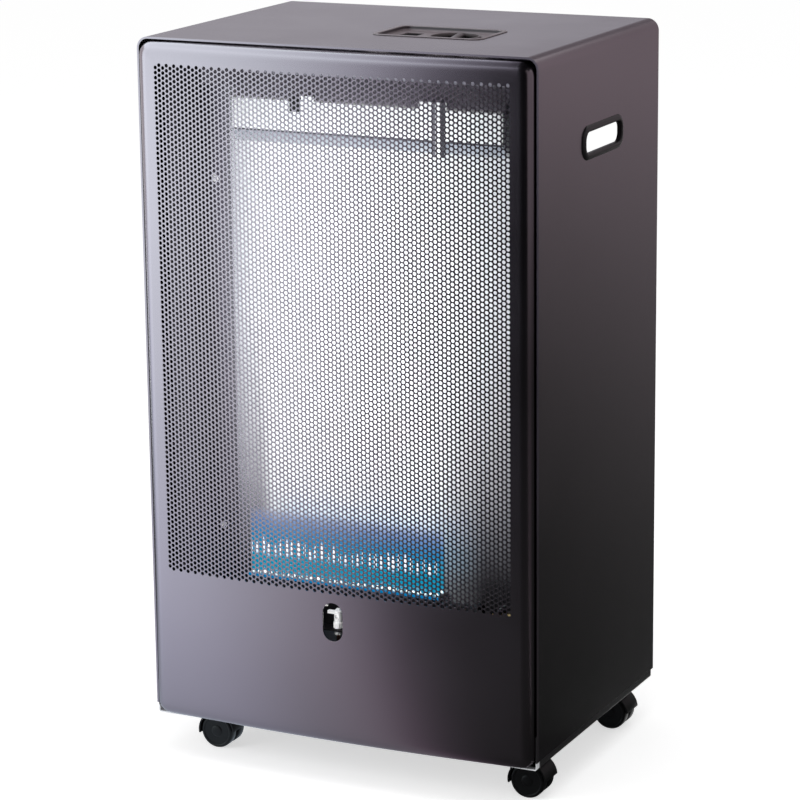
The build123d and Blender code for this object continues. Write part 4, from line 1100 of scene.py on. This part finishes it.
def staged(name, corners, made):
    """Sheet of the stage round the object, which is no part of it."""
    mesh = bpy.data.meshes.new(name)
    mesh.from_pydata(corners, [], [tuple(range(len(corners)))])
    mesh.materials.append(made)
    sheet = bpy.data.objects.new(name, mesh)
    bpy.context.scene.collection.objects.link(sheet)
    return sheet


# Cards that only reflections see, as a studio places its dark and bright ones round a glossy object.
LEFT_X, SIDE_X, TURN_X, RIGHT_X = -3, 0.23, 1.6, 2.5
FRONT_Y, TURN_Y, LEFT_Y, BACK_Y, FAR_Y = -1.165, -0.16, 0.1, 1.3, 2.3
CANOPY_Z = 2.2
FRONT_LEFT, FRONT_TURN, FRONT_RIGHT = ((x, FRONT_Y) for x in (LEFT_X, TURN_X, RIGHT_X))
BACK_LEFT, BACK_MIDDLE, BACK_RIGHT = ((x, BACK_Y) for x in (LEFT_X, 0.26, RIGHT_X))
LEFT_FLOOR = [(LEFT_X, LEFT_Y), (-0.25, LEFT_Y), (-0.25, FAR_Y), (LEFT_X, FAR_Y)]
RIGHT_FLOOR = [FRONT_TURN, FRONT_RIGHT, (RIGHT_X, TURN_Y), (0.52, TURN_Y)]
SIDE_FLOOR = [(SIDE_X, TURN_Y), (RIGHT_X, TURN_Y), BACK_RIGHT, (SIDE_X, BACK_Y)]
CARDS = {
    "card_front": (front_light, upright(FRONT_LEFT, FRONT_TURN, 0.0, CANOPY_Z)),
    "card_front_floor": (front_light, level_card([FRONT_LEFT, FRONT_TURN, (SIDE_X, LEFT_Y), (LEFT_X, LEFT_Y)])),
    "card_left_floor": (left_light, level_card(LEFT_FLOOR)),
    "card_right_floor": (corner_light, level_card(RIGHT_FLOOR)),
    "card_side": (side_light, upright(BACK_MIDDLE, BACK_RIGHT, 0.0, 1.4)),
    "card_side_floor": (side_light, level_card(SIDE_FLOOR)),
    "card_canopy": (canopy_light, level_card([FRONT_LEFT, FRONT_RIGHT, BACK_RIGHT, BACK_LEFT], CANOPY_Z)),
    "card_back": (back_light, upright(BACK_LEFT, BACK_MIDDLE, 0.5, 3.0)),
    "card_right": (right_light, upright(FRONT_TURN, BACK_RIGHT, 0.0, 1.8)),
}
for name, (light, corners) in CARDS.items():
    made, principled, fill, add = shader(name)
    fill(principled, {**UNLIT, "Emission Strength": 1.0, "Emission Color": light(add, object_place(add))})
    card = staged(name, corners, made)
    card.visible_camera = False
    card.visible_diffuse = False
    card.visible_shadow = False
    card.visible_transmission = False
    card.visible_volume_scatter = False


def background_seen(add):
    """1 for the rays that see the white background: those of the camera, and glossy and transmission rays."""
    rays = add("LightPath").outputs
    seen = calc(add, "MAXIMUM", rays["Is Camera Ray"], rays["Is Glossy Ray"])
    return calc(add, "MAXIMUM", seen, rays["Is Transmission Ray"])


made, principled, fill, add = shader("floor")
fill(principled, {
    "Base Color": (0.85, 0.85, 0.85, 1),
    "Roughness": 0.9,
    "Specular IOR Level": 0.0,
    "Emission Color": (1, 1, 1, 1),
    "Emission Strength": calc(add, "MULTIPLY", background_seen(add), FLOOR_GLOW),
})
staged("floor", [(-8, -8, 0), (8, -8, 0), (8, 8, 0), (-8, 8, 0)], made)

world = bpy.data.worlds.new("world")
bpy.context.scene.world = world
world.use_nodes = True
fill, add = node_tools(world.node_tree)
strength = add("MapRange", {"Value": background_seen(add), "To Min": SKY_LIGHT, "To Max": 1.0})
fill(world.node_tree.nodes["Background"], {"Color": (1, 1, 1, 1), "Strength": strength.outputs[0]})

# Position, aim, width, height and power of the lamps, which no reflection shows.
SOFTBOXES = {
    "key": ((-1.7, -2.1, 1.5), (0, 0, 0.4), 1.4, 1.4, 24),
    "top": ((0.4, -0.4, 2.6), (0, 0, 0.4), 1.6, 1.6, 16),
    "inside": ((-0.02, -0.155, 0.46), (-0.03, 0.4, 0.46), 0.3, 0.44, 1.9),
    "pilot": ((-0.014, -0.158, 0.168), (-0.012, -0.13, 0.165), 0.012, 0.02, 0.006),
}
for name, (position, aim, width, height, power) in SOFTBOXES.items():
    lamp = bpy.data.lights.new(name, "AREA")
    lamp.shape = "RECTANGLE"
    lamp.size, lamp.size_y = width, height
    lamp.energy = power
    softbox = bpy.data.objects.new(name, lamp)
    bpy.context.scene.collection.objects.link(softbox)
    softbox.location = position
    softbox.rotation_mode = "QUATERNION"
    softbox.rotation_quaternion = (Vector(position) - Vector(aim)).to_track_quat("Z", "Y")
    softbox.visible_camera = False
    softbox.visible_glossy = False
